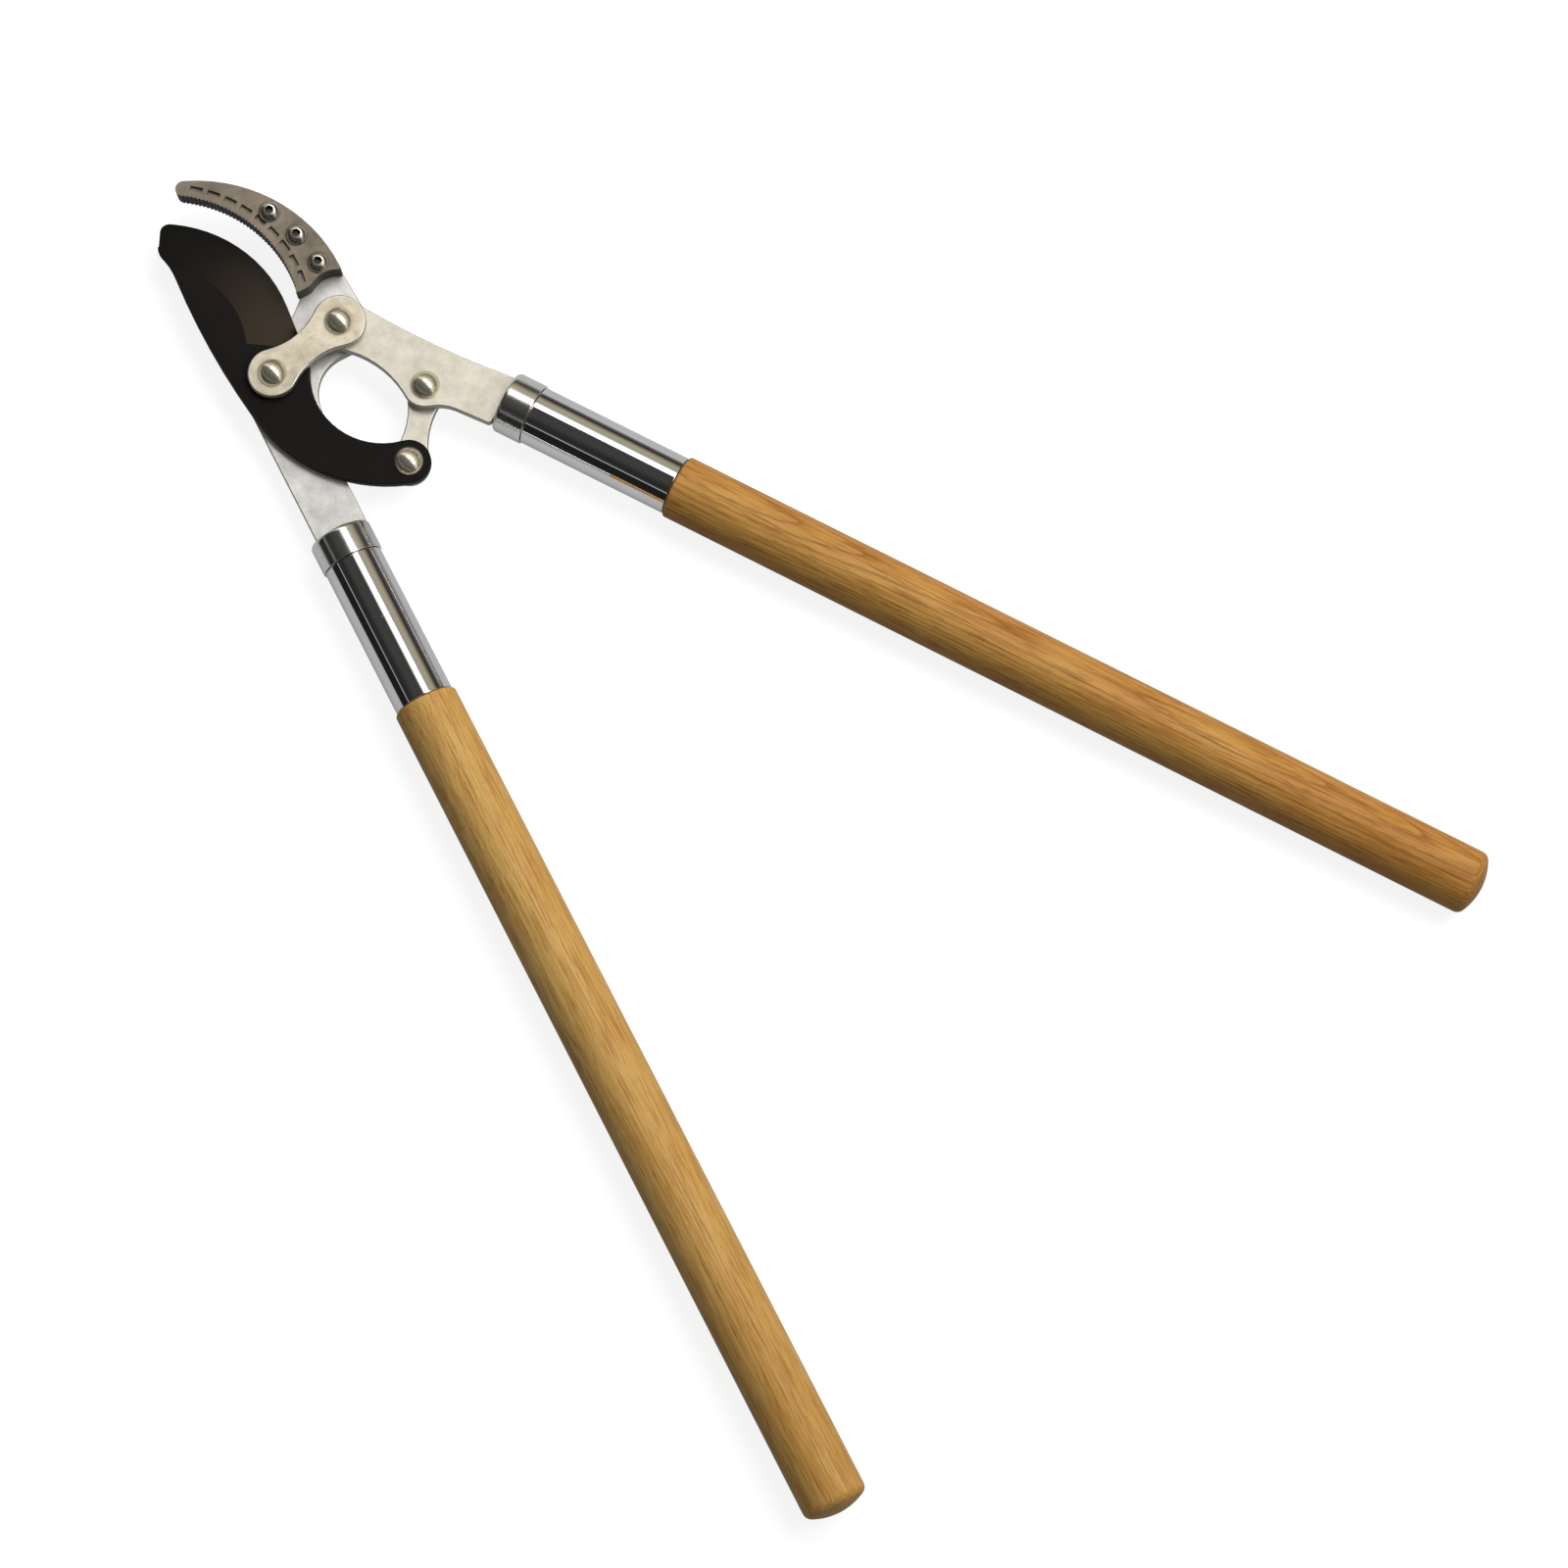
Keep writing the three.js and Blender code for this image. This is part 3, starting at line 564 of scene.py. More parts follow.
class LoppersHeadSettings(bpy.types.PropertyGroup):
    """Sizes and colours of the plates, blade, jaw and fasteners."""

    plate_round: length("Plate Rounding", "Radius of the stamped plates' edges", 0.55 * MM)
    strap_round: length("Strap Rounding", "Radius of the strap's edges", 0.7 * MM)
    blade_round: length("Blade Rounding", "Radius of the blade's blunt edges", 0.5 * MM)
    jaw_round: length("Jaw Rounding", "Radius of the jaw's edges", 0.3 * MM)
    rivet_rim: length("Rivet Rim", "Height of the upright rim round a rivet's head", 0.35 * MM)
    screw_rim: length("Screw Rim", "Height of the upright rim round a screw's head", 0.4 * MM)
    screw_crown: length("Screw Crown", "Radius of the flat crown round the socket", 3 * MM)
    socket_width: length("Socket Width", "Hexagon socket of the jaw screws, across its flats", 4 * MM)
    socket_depth: length("Socket Depth", "Depth of the socket below the crown of the head", 2.5 * MM)
    thread_pitch: length("Thread Pitch", "Pitch of the jaw screws' thread", 1 * MM)
    steel_light: colour("Steel Light", "Lighter shade of the moving arm and the link", (0.79, 0.74, 0.63))
    steel_dark: colour("Steel Dark", "Darker shade of the moving arm and the link", (0.53, 0.49, 0.405))
    pale_light: colour("Pale Light", "Lighter shade of the fixed arm", (0.88, 0.86, 0.83))
    pale_dark: colour("Pale Dark", "Darker shade of the fixed arm", (0.6, 0.585, 0.56))
    strap_light: colour("Strap Light", "Lighter shade of the strap", (0.88, 0.79, 0.62))
    strap_dark: colour("Strap Dark", "Darker shade of the strap", (0.48, 0.415, 0.31))
    edge_steel: colour("Edge Steel", "Rubbed edges of the plates", (0.74, 0.7, 0.63))
    side_steel: colour("Side Steel", "Sheared sides of the plates", (0.5, 0.48, 0.44))
    blade_coating: colour("Blade Coating", "Non-stick coating of the blade", (0.0051, 0.0044, 0.0037))
    blade_ground: colour("Blade Bevel", "Thin coating of the bevel near its heel", (0.035, 0.026, 0.017))
    worn_reach: length("Worn Reach", "How far from the blade pivot the thin coating reaches", 80 * MM)
    jaw_light: colour("Jaw Light", "Lighter shade of the jaw's casting", (0.31, 0.26, 0.2))
    jaw_dark: colour("Jaw Dark", "Darker shade of the jaw's casting", (0.145, 0.12, 0.09))
    # The jaw's sides are coloured near black: partly their dark cast skin, partly painted shade, as they face
    # away from the light.
    skin_shade_light: colour("Skin Shade Light", "Lighter shade of the jaw's cast sides", (0.035, 0.034, 0.036))
    skin_shade_dark: colour("Skin Shade Dark", "Darker shade of the jaw's cast sides", (0.012, 0.012, 0.013))
    nickel: colour("Nickel", "Polished rivets", (1.0, 0.92, 0.72))
    bright_steel: colour("Bright Steel", "Screws, nuts and washers", (0.6, 0.56, 0.5))
    # Painted shade: the inside of each socket is coloured near black where the recess lies in shade.
    socket_shade: colour("Socket Shade", "Inside of the screws' sockets", (0.06, 0.048, 0.032))


class LoppersHandleSettings(bpy.types.PropertyGroup):
    """Sizes and colours of the ferrules and the wooden handles."""

    cap_shoulder: length("Cap Shoulder", "Radius of the cap's front edge", 2.3 * MM)
    slot_clearance: length("Slot Clearance", "Gap round the arm in the cap's slot", 0.3 * MM)
    tube_wall: length("Tube Wall", "Thickness of the ferrule tube", 1.4 * MM)
    wood_shoulder: length("Wood Shoulder", "Radius of the wood's edge at the tube", 1.3 * MM)
    butt_round: length("Butt Rounding", "Radius of the butt's edge", 4.6 * MM)
    butt_dome: length("Butt Dome", "Radius of the butt's domed end", 30 * MM)
    chrome: colour("Chrome", "Ferrule tubes", (0.86, 0.86, 0.87))
    cap_light: colour("Cap Light", "Lighter shade of the ferrule caps", (0.86, 0.85, 0.83))
    cap_dark: colour("Cap Dark", "Darker shade of the ferrule caps", (0.74, 0.73, 0.71))
    fixed_pale: colour("Fixed Pale Wood", "Palest shade of the fixed handle", (0.57, 0.365, 0.115))
    fixed_warm: colour("Fixed Warm Wood", "Warmer shade of the fixed handle", (0.46, 0.255, 0.065))
    fixed_grain: colour("Fixed Ring Colour", "Late wood of the fixed handle", (0.26, 0.095, 0.015))
    moving_pale: colour("Moving Pale Wood", "Palest shade of the moving handle", (0.48, 0.275, 0.071))
    moving_warm: colour("Moving Warm Wood", "Warmer shade of the moving handle", (0.37, 0.17, 0.033))
    moving_grain: colour("Moving Ring Colour", "Late wood of the moving handle", (0.16, 0.046, 0.008))
    pore_colour: colour("Pore Colour", "Pores in the early wood", (0.16, 0.065, 0.015))


class LoppersStageSettings(bpy.types.PropertyGroup):
    """The floor, lamps, world and camera."""

    camera_distance: length("Camera Distance", "From the camera to the point it looks at", 2.1235)
    camera_lens: setting("Lens", "Focal length on a 36 mm sensor", 101.76, min=1.0, unit="CAMERA")
    camera_tilt: setting("Tilt", "Angle from straight down", math.radians(11.83), subtype="ANGLE")
    camera_bearing: setting("Bearing", "Turn of the view about Z", math.radians(-27.31), subtype="ANGLE")
    look_at: bpy.props.FloatVectorProperty(
        name="Look At", description="Point in the middle of the picture",
        default=(-0.0671, -0.0420, 0.0159), subtype="XYZ", unit="LENGTH",
    )
    strip_power: setting("Strip Power", "Power of the long narrow lamp", 11.0, min=0.0, unit="POWER")
    broad_power: setting("Broad Power", "Power of the broad soft lamp", 39.0, min=0.0, unit="POWER")
    sky_level: setting("Sky Level", "Even light from all round", 0.25, min=0.0)
    floor_colour: colour("Floor Colour", "Colour of the floor", (0.22, 0.22, 0.22))
    floor_glow: setting("Floor Glow", "Extra light of the floor for the camera", 0.86, min=0.0)
    floor_sheen: setting("Floor Sheen", "Extra light of the floor in reflections", 0.25, min=0.0)


# --------------------------------------------------------------------------------------- operators

class LOPPERS_OT_surfaces(bpy.types.Operator):
    """Builds the shared node groups and the metal finishes"""

    bl_idname = "loppers.surfaces"
    bl_label = "Metal Finishes"

    def execute(self, context):
        head, handle = context.scene.loppers_head, context.scene.loppers_handle
        worn_surface_group()
        ash_group()
        plate = {"metallic": 0.6, "roughness": (0.36, 0.46), "patch_scale": 170.0, "bump": 0.1}
        satin_metal("warm steel", (head.steel_dark, head.steel_light), turn=0.6, **plate)
        satin_metal("pale steel", (head.pale_dark, head.pale_light), turn=1.3, **plate)
        satin_metal("strap steel", (head.strap_dark, head.strap_light), turn=2.4, **plate)
        rubbed, sheared = [head.edge_steel] * 2, [head.side_steel] * 2
        satin_metal("rubbed edge", rubbed, 1.0, (0.26, 0.32), patch_scale=170.0, bump=0.05)
        satin_metal("sheared side", sheared, 0.8, (0.4, 0.5), patch_scale=170.0, bump=0.2)
        # The jaw's sides get their cast skin darkened with painted shade.
        cast, skin_shade = (head.jaw_dark, head.jaw_light), (head.skin_shade_dark, head.skin_shade_light)
        satin_metal("jaw casting", cast, 0.6, (0.38, 0.5), patch_scale=110.0, bump=0.12)
        satin_metal(
            "jaw skin_shade", skin_shade, 0.3, (0.4, 0.55), specular=0.3, patch_scale=200.0, grain_scale=1500.0, bump=0.2
        )
        coating = (head.blade_coating, scaled(head.blade_coating, 1.5))
        satin_metal("black coating", coating, 0.0, (0.42, 0.5), specular=0.1, bump=0.05)
        ground_bevel("black ground bevel", head)
        satin_metal("turned steel", (handle.cap_dark, handle.cap_light), 1.0, (0.16, 0.2), bump=0.03)
        polished_metal("polished nickel", head.nickel, 0.2, metallic=0.93)
        polished_metal("bright steel", head.bright_steel, 0.22)
        # The sockets' insides get painted shade, a near-black steel.
        socket = (head.socket_shade, scaled(head.socket_shade, 1.6))
        satin_metal("socket shade", socket, 0.8, (0.35, 0.45))
        polished_metal("mirror chrome", handle.chrome, 0.035, smear=0.03)
        return {"FINISHED"}


class LOPPERS_OT_arms(bpy.types.Operator):
    """Makes the two arms, the strap and the link from stamped plate"""

    bl_idname = "loppers.arms"
    bl_label = "Arms, Strap and Link"

    def execute(self, context):
        settings = context.scene.loppers_head
        plates = (
            ("fixed_arm_plate", "fixed_arm", "arm_steel", "pale steel", settings.plate_round),
            ("moving_arm_plate", "moving_arm", "arm_steel", "warm steel", settings.plate_round),
            ("link_plate", "link", "arm_steel", "warm steel", settings.plate_round),
            ("top_strap", "strap", "strap_steel", "strap steel", settings.strap_round),
        )
        for cad_node, name, slot, finish, rounding in plates:
            piece = blank_from(cad_node, name)
            finish_with(piece, finish, "rubbed edge", "sheared side")
            soften(piece, rounding, finish=1)
            paint_faces(piece, 2, lambda face: abs(face.normal.z) < 0.1)
            hand_over(piece, cad_node, slot)
        return {"FINISHED"}


class LOPPERS_OT_blade(bpy.types.Operator):
    """Makes the coated blade, with its ground bevel and fine edge"""

    bl_idname = "loppers.blade"
    bl_label = "Blade"

    EDGE_TOP = 2.5 * MM  # a wall that ends lower than this belongs to the thin cutting edge
    BEVEL_SLOPE = (0.96, 0.992)  # Z of a normal on the ground bevel, at its steepest and its flattest

    def execute(self, context):
        settings = context.scene.loppers_head
        piece = blank_from("blade", "black_blade")
        low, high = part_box("blade")
        level = 0.1 * MM

        def blunt(each):
            """Sharp edges, except where the thin cutting edge runs."""
            if len(each.link_faces) != 2 or each.calc_face_angle(0) < SHARP_ANGLE:
                return False
            heights = [face.calc_center_bounds().z for face in each.link_faces]
            walls = [face for face in each.link_faces if abs(face.normal.z) < 0.5]
            upper = [v.co.z for face in walls for v in face.verts if v.co.z > low.z + level]
            tall = bool(upper) and min(upper) > low.z + self.EDGE_TOP
            return tall or max(heights) > high.z - level

        edit(piece)
        select_edges(piece, blunt)
        bpy.ops.mesh.bevel(
            offset=settings.blade_round, segments=3, affect="EDGES", clamp_overlap=False, loop_slide=False
        )
        leave_edit()
        shade(piece)
        sound_flats(piece)
        hand_over(piece, "blade", "blade_coating", "black coating", "black ground bevel")
        steepest, flattest = self.BEVEL_SLOPE
        paint_faces(piece, 1, lambda face: steepest < face.normal.z < flattest)
        return {"FINISHED"}


class LOPPERS_OT_jaw(bpy.types.Operator):
    """Makes the cast jaw, with its teeth and its row of slots"""

    bl_idname = "loppers.jaw"
    bl_label = "Jaw"

    SLOT_REACH = 2.6 * MM  # from the top to a little below the slots
    MERGE = 0.2 * MM  # corners closer than this have no room for the rounding

    def execute(self, context):
        settings = context.scene.loppers_head
        piece = blank_from("anvil_jaw", "serrated_jaw", merge=self.MERGE)
        soften(piece, settings.jaw_round, segments=2)
        hand_over(piece, "anvil_jaw", "jaw_casting", "jaw casting", "jaw skin_shade")
        slot_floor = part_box("anvil_jaw")[1].z - self.SLOT_REACH

        def on_side(face):
            """True on a wall that goes down past the slots."""
            lowest = min(piece.data.vertices[i].co.z for i in face.vertices)
            return abs(face.normal.z) < 0.6 and lowest < slot_floor

        # These walls get the near-black cast skin with painted shade.
        paint_faces(piece, 1, on_side)
        return {"FINISHED"}


class LOPPERS_OT_rivets(bpy.types.Operator):
    """Makes the four domed rivets and their washers"""

    bl_idname = "loppers.rivets"
    bl_label = "Rivets and Washers"

    def execute(self, context):
        settings = context.scene.loppers_head
        for pivot in ("blade_pivot", "handle_pivot", "arm_link", "tail_link"):
            self.rivet(pivot, settings)
            self.washer(pivot)
        return {"FINISHED"}

    def rivet(self, pivot, settings):
        cad_node = f"{pivot}_rivet"
        centre = middle(cad_node)
        low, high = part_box(cad_node)
        shank, head = self.shoulders(cad_node, centre)
        rim = settings.rivet_rim
        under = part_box(f"{pivot}_washer")[0].z
        seat = head["level"]
        head_height = high.z - seat - rim
        back_height = under - low.z - rim
        profile = [(r, under - rim - h) for r, h in reversed(dome(head["back"], back_height, 7))]
        profile += [(head["back"], under), (shank, under), (shank, seat), (head["radius"], seat)]
        profile += [(r, seat + rim + h) for r, h in dome(head["radius"], head_height, 12)]
        piece = turned(f"rivet_{pivot}", profile, 72)
        stand(piece, centre)
        shade(piece)
        hand_over(piece, cad_node, "rivet_nickel", "polished nickel")

    def shoulders(self, cad_node, centre):
        """The shank's radius, and the radii of both heads with the level of the front one."""
        rings = {}
        for spot in vertices_of(cad_node):
            rings.setdefault(round(spot.z, 5), []).append((spot.xy - centre.xy).length)
        inner = {height: min(outs) for height, outs in rings.items()}
        outer = {height: max(outs) for height, outs in rings.items()}
        shouldered = sorted(height for height in rings if outer[height] - inner[height] > 1 * MM)
        back, front = shouldered[0], shouldered[-1]
        return inner[front], {"level": front, "radius": outer[front], "back": outer[back]}

    def washer(self, pivot):
        cad_node = f"{pivot}_washer"
        low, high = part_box(cad_node)
        centre = middle(cad_node)
        outs = outs_from(centre, cad_node)
        inner, outer = min(outs), max(outs)
        soft = 0.25 * MM
        profile = [(inner, low.z), (outer - soft, low.z), (outer, low.z + soft), (outer, high.z - soft)]
        profile += [(outer - soft, high.z), (inner, high.z), (inner, low.z)]
        piece = turned(f"washer_{pivot}", profile, 64, hollow=True)
        stand(piece, centre)
        shade(piece)
        hand_over(piece, cad_node, "washer_steel", "bright steel")


class LOPPERS_OT_jaw_screws(bpy.types.Operator):
    """Makes the button-head screws of the jaw and their nuts"""

    bl_idname = "loppers.jaw_screws"
    bl_label = "Jaw Screws and Nuts"

    THREAD_DEPTH = 0.55  # of the pitch
    TIP = 0.3 * MM  # chamfer of the screw's end
    SOCKET_TURN = 0.7  # each screw was tightened to a turn of its own

    def execute(self, context):
        settings = context.scene.loppers_head
        for number in (1, 2, 3):
            self.screw(number, settings)
            self.nut(number)
        return {"FINISHED"}

    def screw(self, number, settings):
        cad_node = f"jaw_screw_{number}"
        low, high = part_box(cad_node)
        centre = middle(cad_node)
        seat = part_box("anvil_jaw")[1].z
        nut_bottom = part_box(f"jaw_nut_{number}")[0].z
        radius = (high.x - low.x) / 2
        shank = min(outs_from(centre, cad_node, seat))
        rim, pitch = settings.screw_rim, settings.thread_pitch
        root = shank - self.THREAD_DEPTH * pitch
        profile = [(root - self.TIP, low.z)]
        height = low.z + self.TIP
        while height < nut_bottom + pitch:
            profile += [(root, height), (shank, height + pitch / 2)]
            height += pitch
        profile += [(shank, height), (shank, seat), (radius, seat)]
        crown = settings.screw_crown
        profile += [(r, seat + rim + h) for r, h in dome(radius, high.z - seat - rim, 10, crown)]
        profile += [(CORE / 2, high.z)]
        piece = turned(f"screw_{number}", profile, 64)
        corner = settings.socket_width / math.sqrt(3)
        floor = high.z - settings.socket_depth
        cut_away(piece, prism("socket", 6, corner, floor, high.z + 1 * MM, number * self.SOCKET_TURN))
        stand(piece, centre)
        shade(piece)
        hand_over(piece, cad_node, "screw_steel", "bright steel", "socket shade")

        def in_socket(face):
            out = (face.center.xy - centre.xy).length
            return out < 0.95 * corner and face.center.z > floor - 0.1 * MM

        # The faces inside the socket get the near-black painted shade.
        paint_faces(piece, 1, in_socket)

    def nut(self, number):
        cad_node = f"jaw_nut_{number}"
        low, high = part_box(cad_node)
        centre = middle(cad_node)
        corner = (high.x - low.x) / 2
        flats = corner * math.sqrt(3) / 2
        hole = min(outs_from(centre, cad_node))
        piece = prism(f"nut_{number}", 6, corner, low.z, high.z)
        small, large, past = flats * 0.97, corner * 1.04, 0.01 * MM
        drop = (corner - flats) * 0.9
        crown = [(small, low.z - past), (large, low.z + drop), (large, high.z - drop), (small, high.z + past)]
        cut_away(piece, turned("crown", crown, 64), "INTERSECT")
        wide, deep, past = hole + 0.7 * MM, 0.6 * MM, 0.1 * MM
        bore = [(wide, low.z - past), (hole, low.z + deep), (hole, high.z - deep), (wide, high.z + past)]
        cut_away(piece, turned("bore", bore, 48))
        stand(piece, centre)
        shade(piece)
        hand_over(piece, cad_node, "washer_steel", "bright steel")


class LOPPERS_OT_ferrules(bpy.types.Operator):
    """Makes the turned caps and the chromed tubes"""

    bl_idname = "loppers.ferrules"
    bl_label = "Ferrules"

    CAP_EDGE = 0.35 * MM
    SLOT_EDGE = 0.25 * MM
    TUBE_LIP = 0.45 * MM
    TANG_START = 5 * MM  # from here back, only the arm's tang is inside the ferrule
    CUTTER_PAST = 2 * MM  # how far the slot's cutter stands out of both ends of the cap

    def execute(self, context):
        settings = context.scene.loppers_handle
        for prefix in HANDLES:
            line = HandleLine(prefix)
            self.cap(prefix, line, settings)
            self.tube(prefix, line, settings)
        return {"FINISHED"}

    def cap(self, prefix, line, settings):
        rounding = settings.cap_shoulder
        rear = line.tube_start - settings.slot_clearance
        spigot = line.tube_radius - settings.tube_wall - settings.slot_clearance
        edge = self.CAP_EDGE
        radius = line.cap_radius
        profile = [(CORE, 0), (radius - rounding, 0)]
        profile += round_over(rounding, (radius - rounding, rounding), -90, 0, 8)[1:]
        profile += round_over(edge, (radius - edge, rear - edge), 0, 90, 3)
        profile += [(spigot, rear), (spigot, line.cap_back), (CORE, line.cap_back)]
        piece = turned(f"cap_{prefix}", profile, 96)
        place(piece, line.placement())
        cut_away(piece, self.slot_cutter(prefix, line, settings))
        apply_modifier(
            piece, "BEVEL", width=self.SLOT_EDGE, segments=2, limit_method="ANGLE",
            angle_limit=math.radians(60), use_clamp_overlap=True,
        )
        shade(piece)
        hand_over(piece, f"{prefix}_ferrule_cap", "cap_steel", "turned steel")

    def slot_cutter(self, prefix, line, settings):
        """A block that opens the cap for the arm's tang."""
        low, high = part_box(f"{prefix}_arm_plate")
        gap = settings.slot_clearance
        across = Vector((-line.axis.y, line.axis.x, 0))
        offsets = [spot - line.origin for spot in vertices_of(f"{prefix}_arm_plate")]
        tang = [offset for offset in offsets if offset.dot(line.axis) > self.TANG_START]
        half_width = max(abs(offset.dot(across)) for offset in tang) + gap
        depth = line.cap_back + 2 * self.CUTTER_PAST
        cutter = add(bpy.ops.mesh.primitive_cube_add, "slot", size=1)
        cutter.scale = (depth, 2 * half_width, high.z - low.z + 2 * gap)
        cutter.rotation_euler = (0, 0, line.bearing)
        cutter.location = line.origin + line.axis * (depth / 2 - self.CUTTER_PAST)
        cutter.location.z = (low.z + high.z) / 2
        bpy.ops.object.transform_apply()
        return cutter

    def tube(self, prefix, line, settings):
        outer = line.tube_radius
        inner = outer - settings.tube_wall
        start, end, lip = line.tube_start, line.tube_end, self.TUBE_LIP
        profile = [(inner, start)]
        profile += round_over(lip, (outer - lip, start + lip), -90, 0, 4)
        profile += round_over(lip, (outer - lip, end - lip), 0, 90, 4)
        profile += [(inner, end), (inner, start)]
        piece = turned(f"tube_{prefix}", profile, 128, hollow=True)
        place(piece, line.placement())
        shade(piece)
        hand_over(piece, f"{prefix}_ferrule_tube", "tube_chrome", "mirror chrome")


class LOPPERS_OT_wood(bpy.types.Operator):
    """Makes the two turned wooden handles"""

    bl_idname = "loppers.wood"
    bl_label = "Wooden Handles"

    FIGURES = {
        "fixed": {
            "Ring Spacing": 1.3 * MM, "Lean": 0.005, "Turn": 1.0, "Wander": 8 * MM,
            "Curl": 4.5 * MM, "Pith": 60 * MM,
        },
        "moving": {
            "Ring Spacing": 1.5 * MM, "Lean": 0.012, "Turn": -0.3, "Wander": 18 * MM,
            "Curl": 0.6 * MM, "Pith": 30 * MM,
        },
    }
    CONTRAST = {"fixed": 0.6, "moving": 1.0}

    def execute(self, context):
        settings = context.scene.loppers_handle
        for prefix in HANDLES:
            line = HandleLine(prefix)
            radius, butt = line.wood_radius, line.butt
            shoulder = line.tube_end + settings.slot_clearance
            neck = line.tube_radius - settings.tube_wall - settings.slot_clearance
            edge, rounding, ball = settings.wood_shoulder, settings.butt_round, settings.butt_dome
            level = butt - ball + math.sqrt((ball - rounding) ** 2 - (radius - rounding) ** 2)
            turning = math.degrees(math.atan2(level - butt + ball, radius - rounding))
            profile = [(CORE, line.neck_start), (neck, line.neck_start), (neck, shoulder)]
            profile += round_over(edge, (radius - edge, shoulder + edge), -90, 0, 5)
            profile += round_over(rounding, (radius - rounding, level), 0, turning, 6)
            profile += round_over(ball, (0, butt - ball), turning, 88, 8)[1:]
            profile += [(CORE, butt)]
            piece = turned(f"wood_{prefix}", profile, 96)
            place(piece, line.placement())
            shade(piece)
            colours = [getattr(settings, f"{prefix}_{part}") for part in ("pale", "warm", "grain")]
            colours.append(settings.pore_colour)
            material = ash_wood(f"{prefix} ash", line, colours, self.FIGURES[prefix], self.CONTRAST[prefix])
            hand_over(piece, f"{prefix}_wood_handle", f"{prefix}_wood", material.name)
        return {"FINISHED"}


class LOPPERS_OT_stage(bpy.types.Operator):
    """Sets up the floor, the lamps, the world and the camera"""

    bl_idname = "loppers.stage"
    bl_label = "Stage"

    LAMP_BEARING = math.radians(18.3)
    LAMP_DISTANCE = 1.8
    FLOOR_SIZE = 12
    SENSOR_WIDTH = 36  # in millimetres, as a camera has it
    CLIP_END = 20
    # The ceiling that polished metal reflects: degrees from straight up towards the lamps, and colour.
    BANDS = (
        (-180, (0.4, 0.4, 0.4)),
        (-98, (0.32, 0.32, 0.31)),
        (-92, (0.015, 0.015, 0.015)),
        (-57, (0.012, 0.012, 0.012)),
        (-54.5, (0.6, 0.6, 0.58)),
        (-52, (0.03, 0.03, 0.03)),
        (-38, (0.022, 0.022, 0.021)),
        (-18, (0.055, 0.054, 0.05)),
        (11, (0.05, 0.05, 0.049)),
        (14, (0.95, 0.94, 0.92)),
        (31, (0.95, 0.93, 0.88)),
        (34, (0.4, 0.37, 0.29)),
        (52, (0.42, 0.38, 0.28)),
        (64, (0.17, 0.13, 0.09)),
        (69, (0.03, 0.025, 0.02)),
        (80, (0.08, 0.075, 0.07)),
        (93, (0.4, 0.39, 0.37)),
    )

    def execute(self, context):
        settings = context.scene.loppers_stage
        self.floor(settings)
        self.lamp("strip_lamp", math.radians(22), (0.45, 2.6), settings.strip_power, settings)
        broad = self.lamp("broad_lamp", math.radians(42), (1.5, 1.8), settings.broad_power, settings)
        broad.visible_glossy = False
        self.world(settings)
        self.camera(settings)
        context.scene.view_settings.view_transform = "Standard"
        return {"FINISHED"}

    def floor(self, settings):
        floor = add(bpy.ops.mesh.primitive_plane_add, "floor", size=self.FLOOR_SIZE, location=(0, 0, 0))
        material, tree, shader, _ = new_material("floor")
        path = node(tree, "ShaderNodeLightPath").outputs
        seen = maths(tree, "MULTIPLY", path["Is Camera Ray"], settings.floor_glow)
        mirrored = maths(tree, "MULTIPLY", path["Is Glossy Ray"], settings.floor_sheen)
        feed(tree, shader.inputs, {
            "Base Color": settings.floor_colour, "Roughness": 1.0, "Specular IOR Level": 0.0,
            "Emission Color": (1, 1, 1, 1), "Emission Strength": maths(tree, "ADD", seen, mirrored),
        })
        floor.data.materials.append(material)

    def lamp(self, name, lean, size, power, settings):
        """A soft lamp, leaning from straight above towards the lamps' side."""
        lamp = add(bpy.ops.object.light_add, name, type="AREA")
        lamp.data.shape = "RECTANGLE"
        lamp.data.size, lamp.data.size_y = size
        lamp.data.energy = power
        turn = Matrix.Rotation(self.LAMP_BEARING, 4, "Z") @ Matrix.Rotation(lean, 4, "Y")
        self.aim(lamp, turn, self.LAMP_DISTANCE, settings)
        return lamp

    def aim(self, thing, turn, distance, settings):
        """Sets a lamp or the camera at a distance from the point that the camera looks at."""
        target = Matrix.Translation(Vector(settings.look_at))
        thing.matrix_world = target @ turn @ Matrix.Translation((0, 0, distance))

    def world(self, settings):
        """White for the camera, an even grey for light, and a banded studio ceiling for reflections."""
        world = bpy.data.worlds.new("studio")
        bpy.context.scene.world = world
        world.use_nodes = True
        tree = world.node_tree
        background = tree.nodes["Background"]
        direction = node(tree, "ShaderNodeTexCoord").outputs["Generated"]
        toward = (math.cos(self.LAMP_BEARING), math.sin(self.LAMP_BEARING), 0)
        dot = node(tree, "ShaderNodeVectorMath", {0: direction, 1: toward}, operation="DOT_PRODUCT")
        height = node(tree, "ShaderNodeSeparateXYZ", {"Vector": direction}).outputs["Z"]
        angle = maths(tree, "ARCTAN2", dot.outputs["Value"], height)
        swing = maths(tree, "MULTIPLY_ADD", angle, 0.5 / math.pi, 0.5)
        ramp = node(tree, "ShaderNodeValToRGB", {"Fac": swing})
        self.bands(ramp.color_ramp)
        path = node(tree, "ShaderNodeLightPath").outputs
        level = settings.sky_level
        lit = mixed(tree, path["Is Glossy Ray"], (level, level, level, 1), ramp.outputs["Color"])
        seen = mixed(tree, path["Is Camera Ray"], lit, (1, 1, 1, 1))
        tree.links.new(seen, background.inputs["Color"])

    def bands(self, ramp):
        def where(degrees):
            return degrees / 360 + 0.5

        first, last = ramp.elements[0], ramp.elements[1]
        ramp.elements.remove(last)
        first.position = where(self.BANDS[0][0])
        first.color = (*self.BANDS[0][1], 1)
        for degrees, level in self.BANDS[1:]:
            ramp.elements.new(where(degrees)).color = (*level, 1)

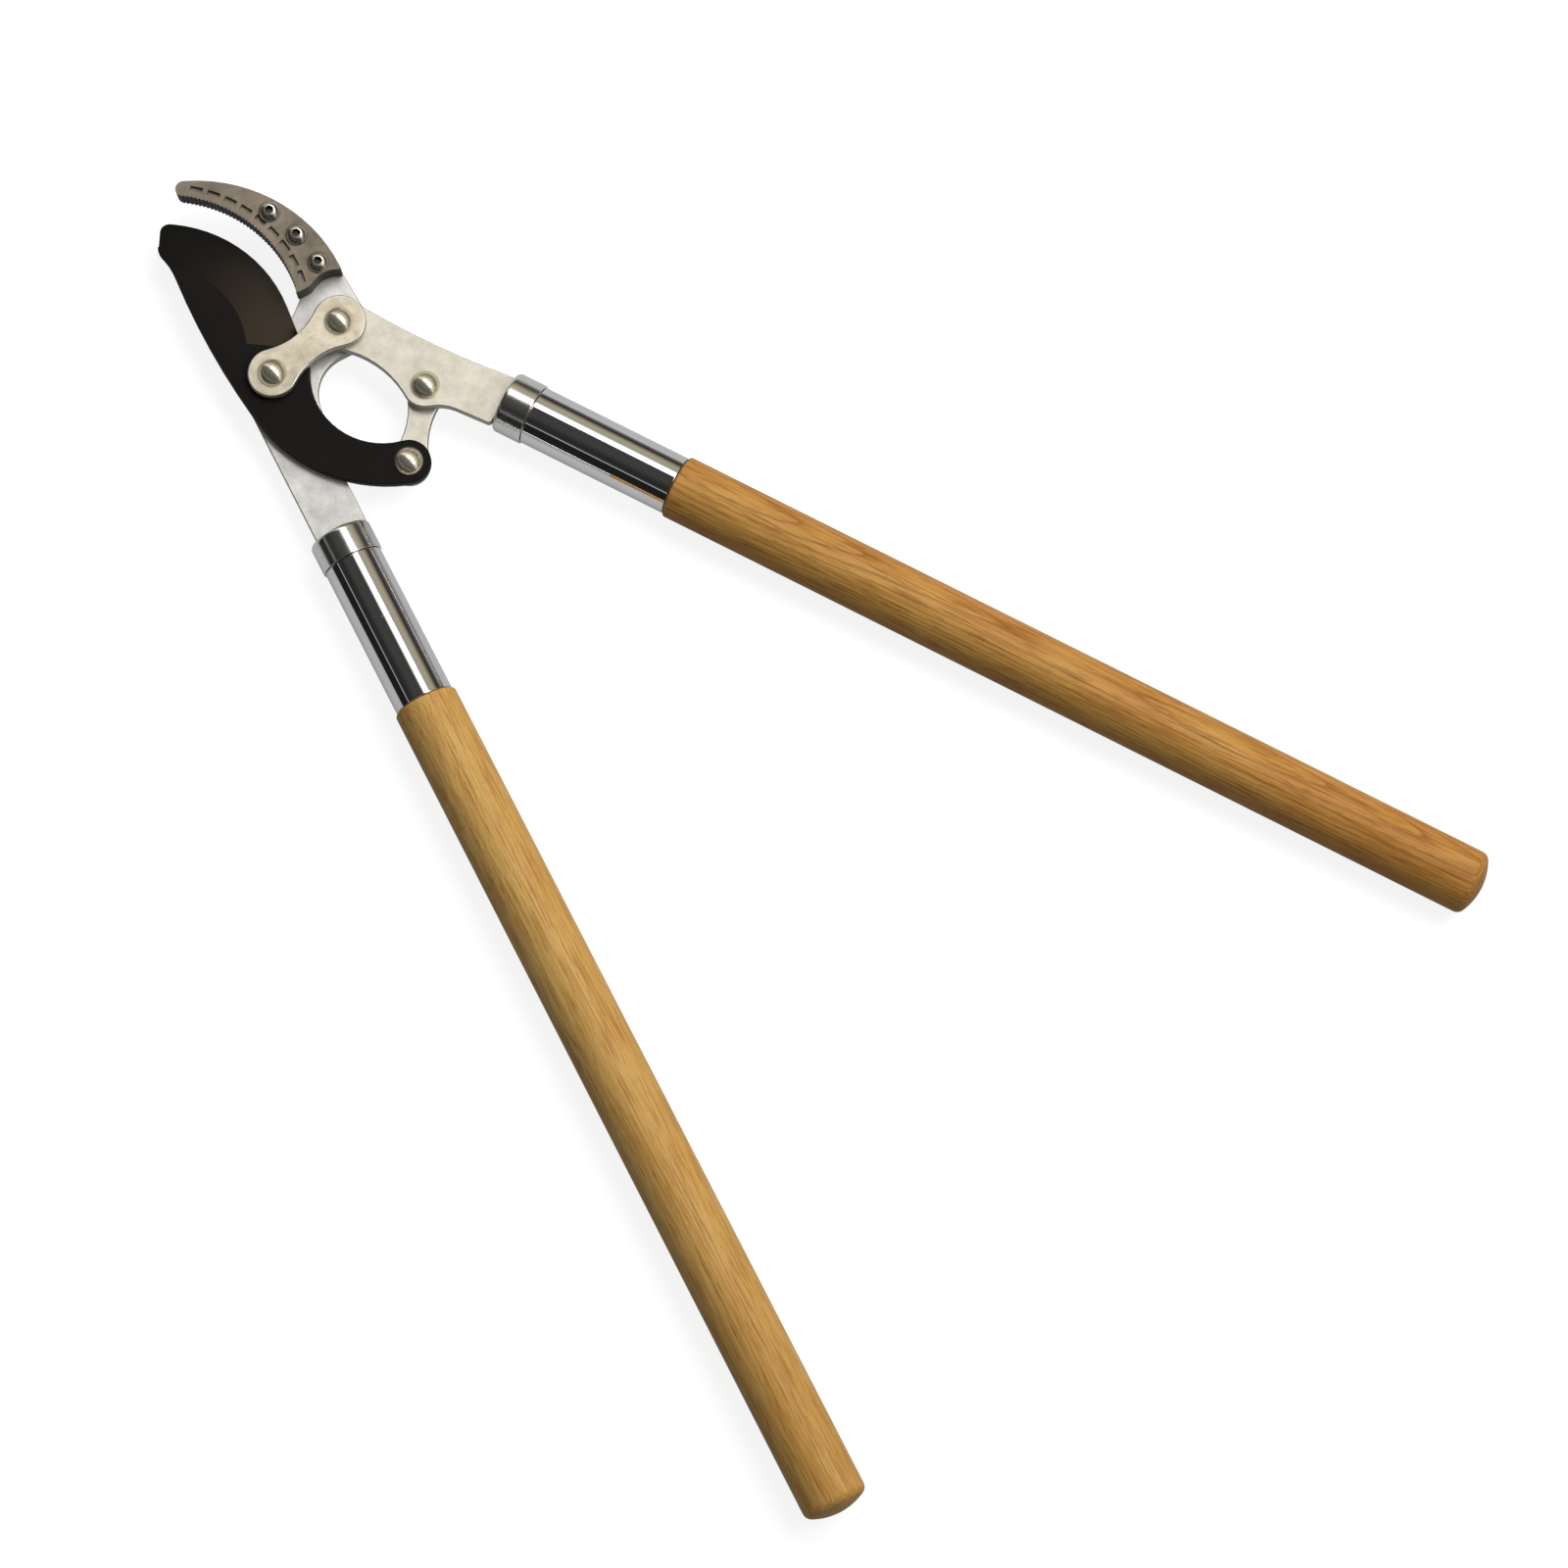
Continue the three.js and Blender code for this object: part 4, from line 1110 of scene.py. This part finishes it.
    def camera(self, settings):
        camera = add(bpy.ops.object.camera_add, "Camera")
        camera.data.lens = settings.camera_lens
        camera.data.sensor_width = self.SENSOR_WIDTH
        camera.data.clip_end = self.CLIP_END
        bearing = Matrix.Rotation(settings.camera_bearing, 4, "Z")
        turn = bearing @ Matrix.Rotation(settings.camera_tilt, 4, "X")
        self.aim(camera, turn, settings.camera_distance, settings)
        bpy.context.scene.camera = camera


class LOPPERS_PT_panel(bpy.types.Panel):
    """Lists the steps that build the loppers."""

    bl_label = "Anvil Loppers"
    bl_space_type = "VIEW_3D"
    bl_region_type = "UI"
    bl_category = "Loppers"

    def draw(self, context):
        for step in STEPS:
            self.layout.operator(step.bl_idname)
        for group in GROUPS:
            settings = getattr(context.scene, group)
            box = self.layout.box()
            for key in settings.__annotations__:
                box.prop(settings, key)


STEPS = (
    LOPPERS_OT_surfaces, LOPPERS_OT_arms, LOPPERS_OT_blade, LOPPERS_OT_jaw, LOPPERS_OT_rivets,
    LOPPERS_OT_jaw_screws, LOPPERS_OT_ferrules, LOPPERS_OT_wood, LOPPERS_OT_stage,
)
GROUPS = {
    "loppers_head": LoppersHeadSettings,
    "loppers_handle": LoppersHandleSettings,
    "loppers_stage": LoppersStageSettings,
}


def register():
    for key, group in GROUPS.items():
        bpy.utils.register_class(group)
        setattr(bpy.types.Scene, key, bpy.props.PointerProperty(type=group))
    for step in STEPS:
        bpy.utils.register_class(step)
    bpy.utils.register_class(LOPPERS_PT_panel)


def unregister():
    bpy.utils.unregister_class(LOPPERS_PT_panel)
    for step in reversed(STEPS):
        bpy.utils.unregister_class(step)
    for key, group in GROUPS.items():
        delattr(bpy.types.Scene, key)
        bpy.utils.unregister_class(group)


def main():
    register()
    bpy.ops.loppers.surfaces()
    bpy.ops.loppers.arms()
    bpy.ops.loppers.blade()
    bpy.ops.loppers.jaw()
    bpy.ops.loppers.rivets()
    bpy.ops.loppers.jaw_screws()
    bpy.ops.loppers.ferrules()
    bpy.ops.loppers.wood()
    bpy.ops.loppers.stage()


if __name__ == "__main__":
    main()
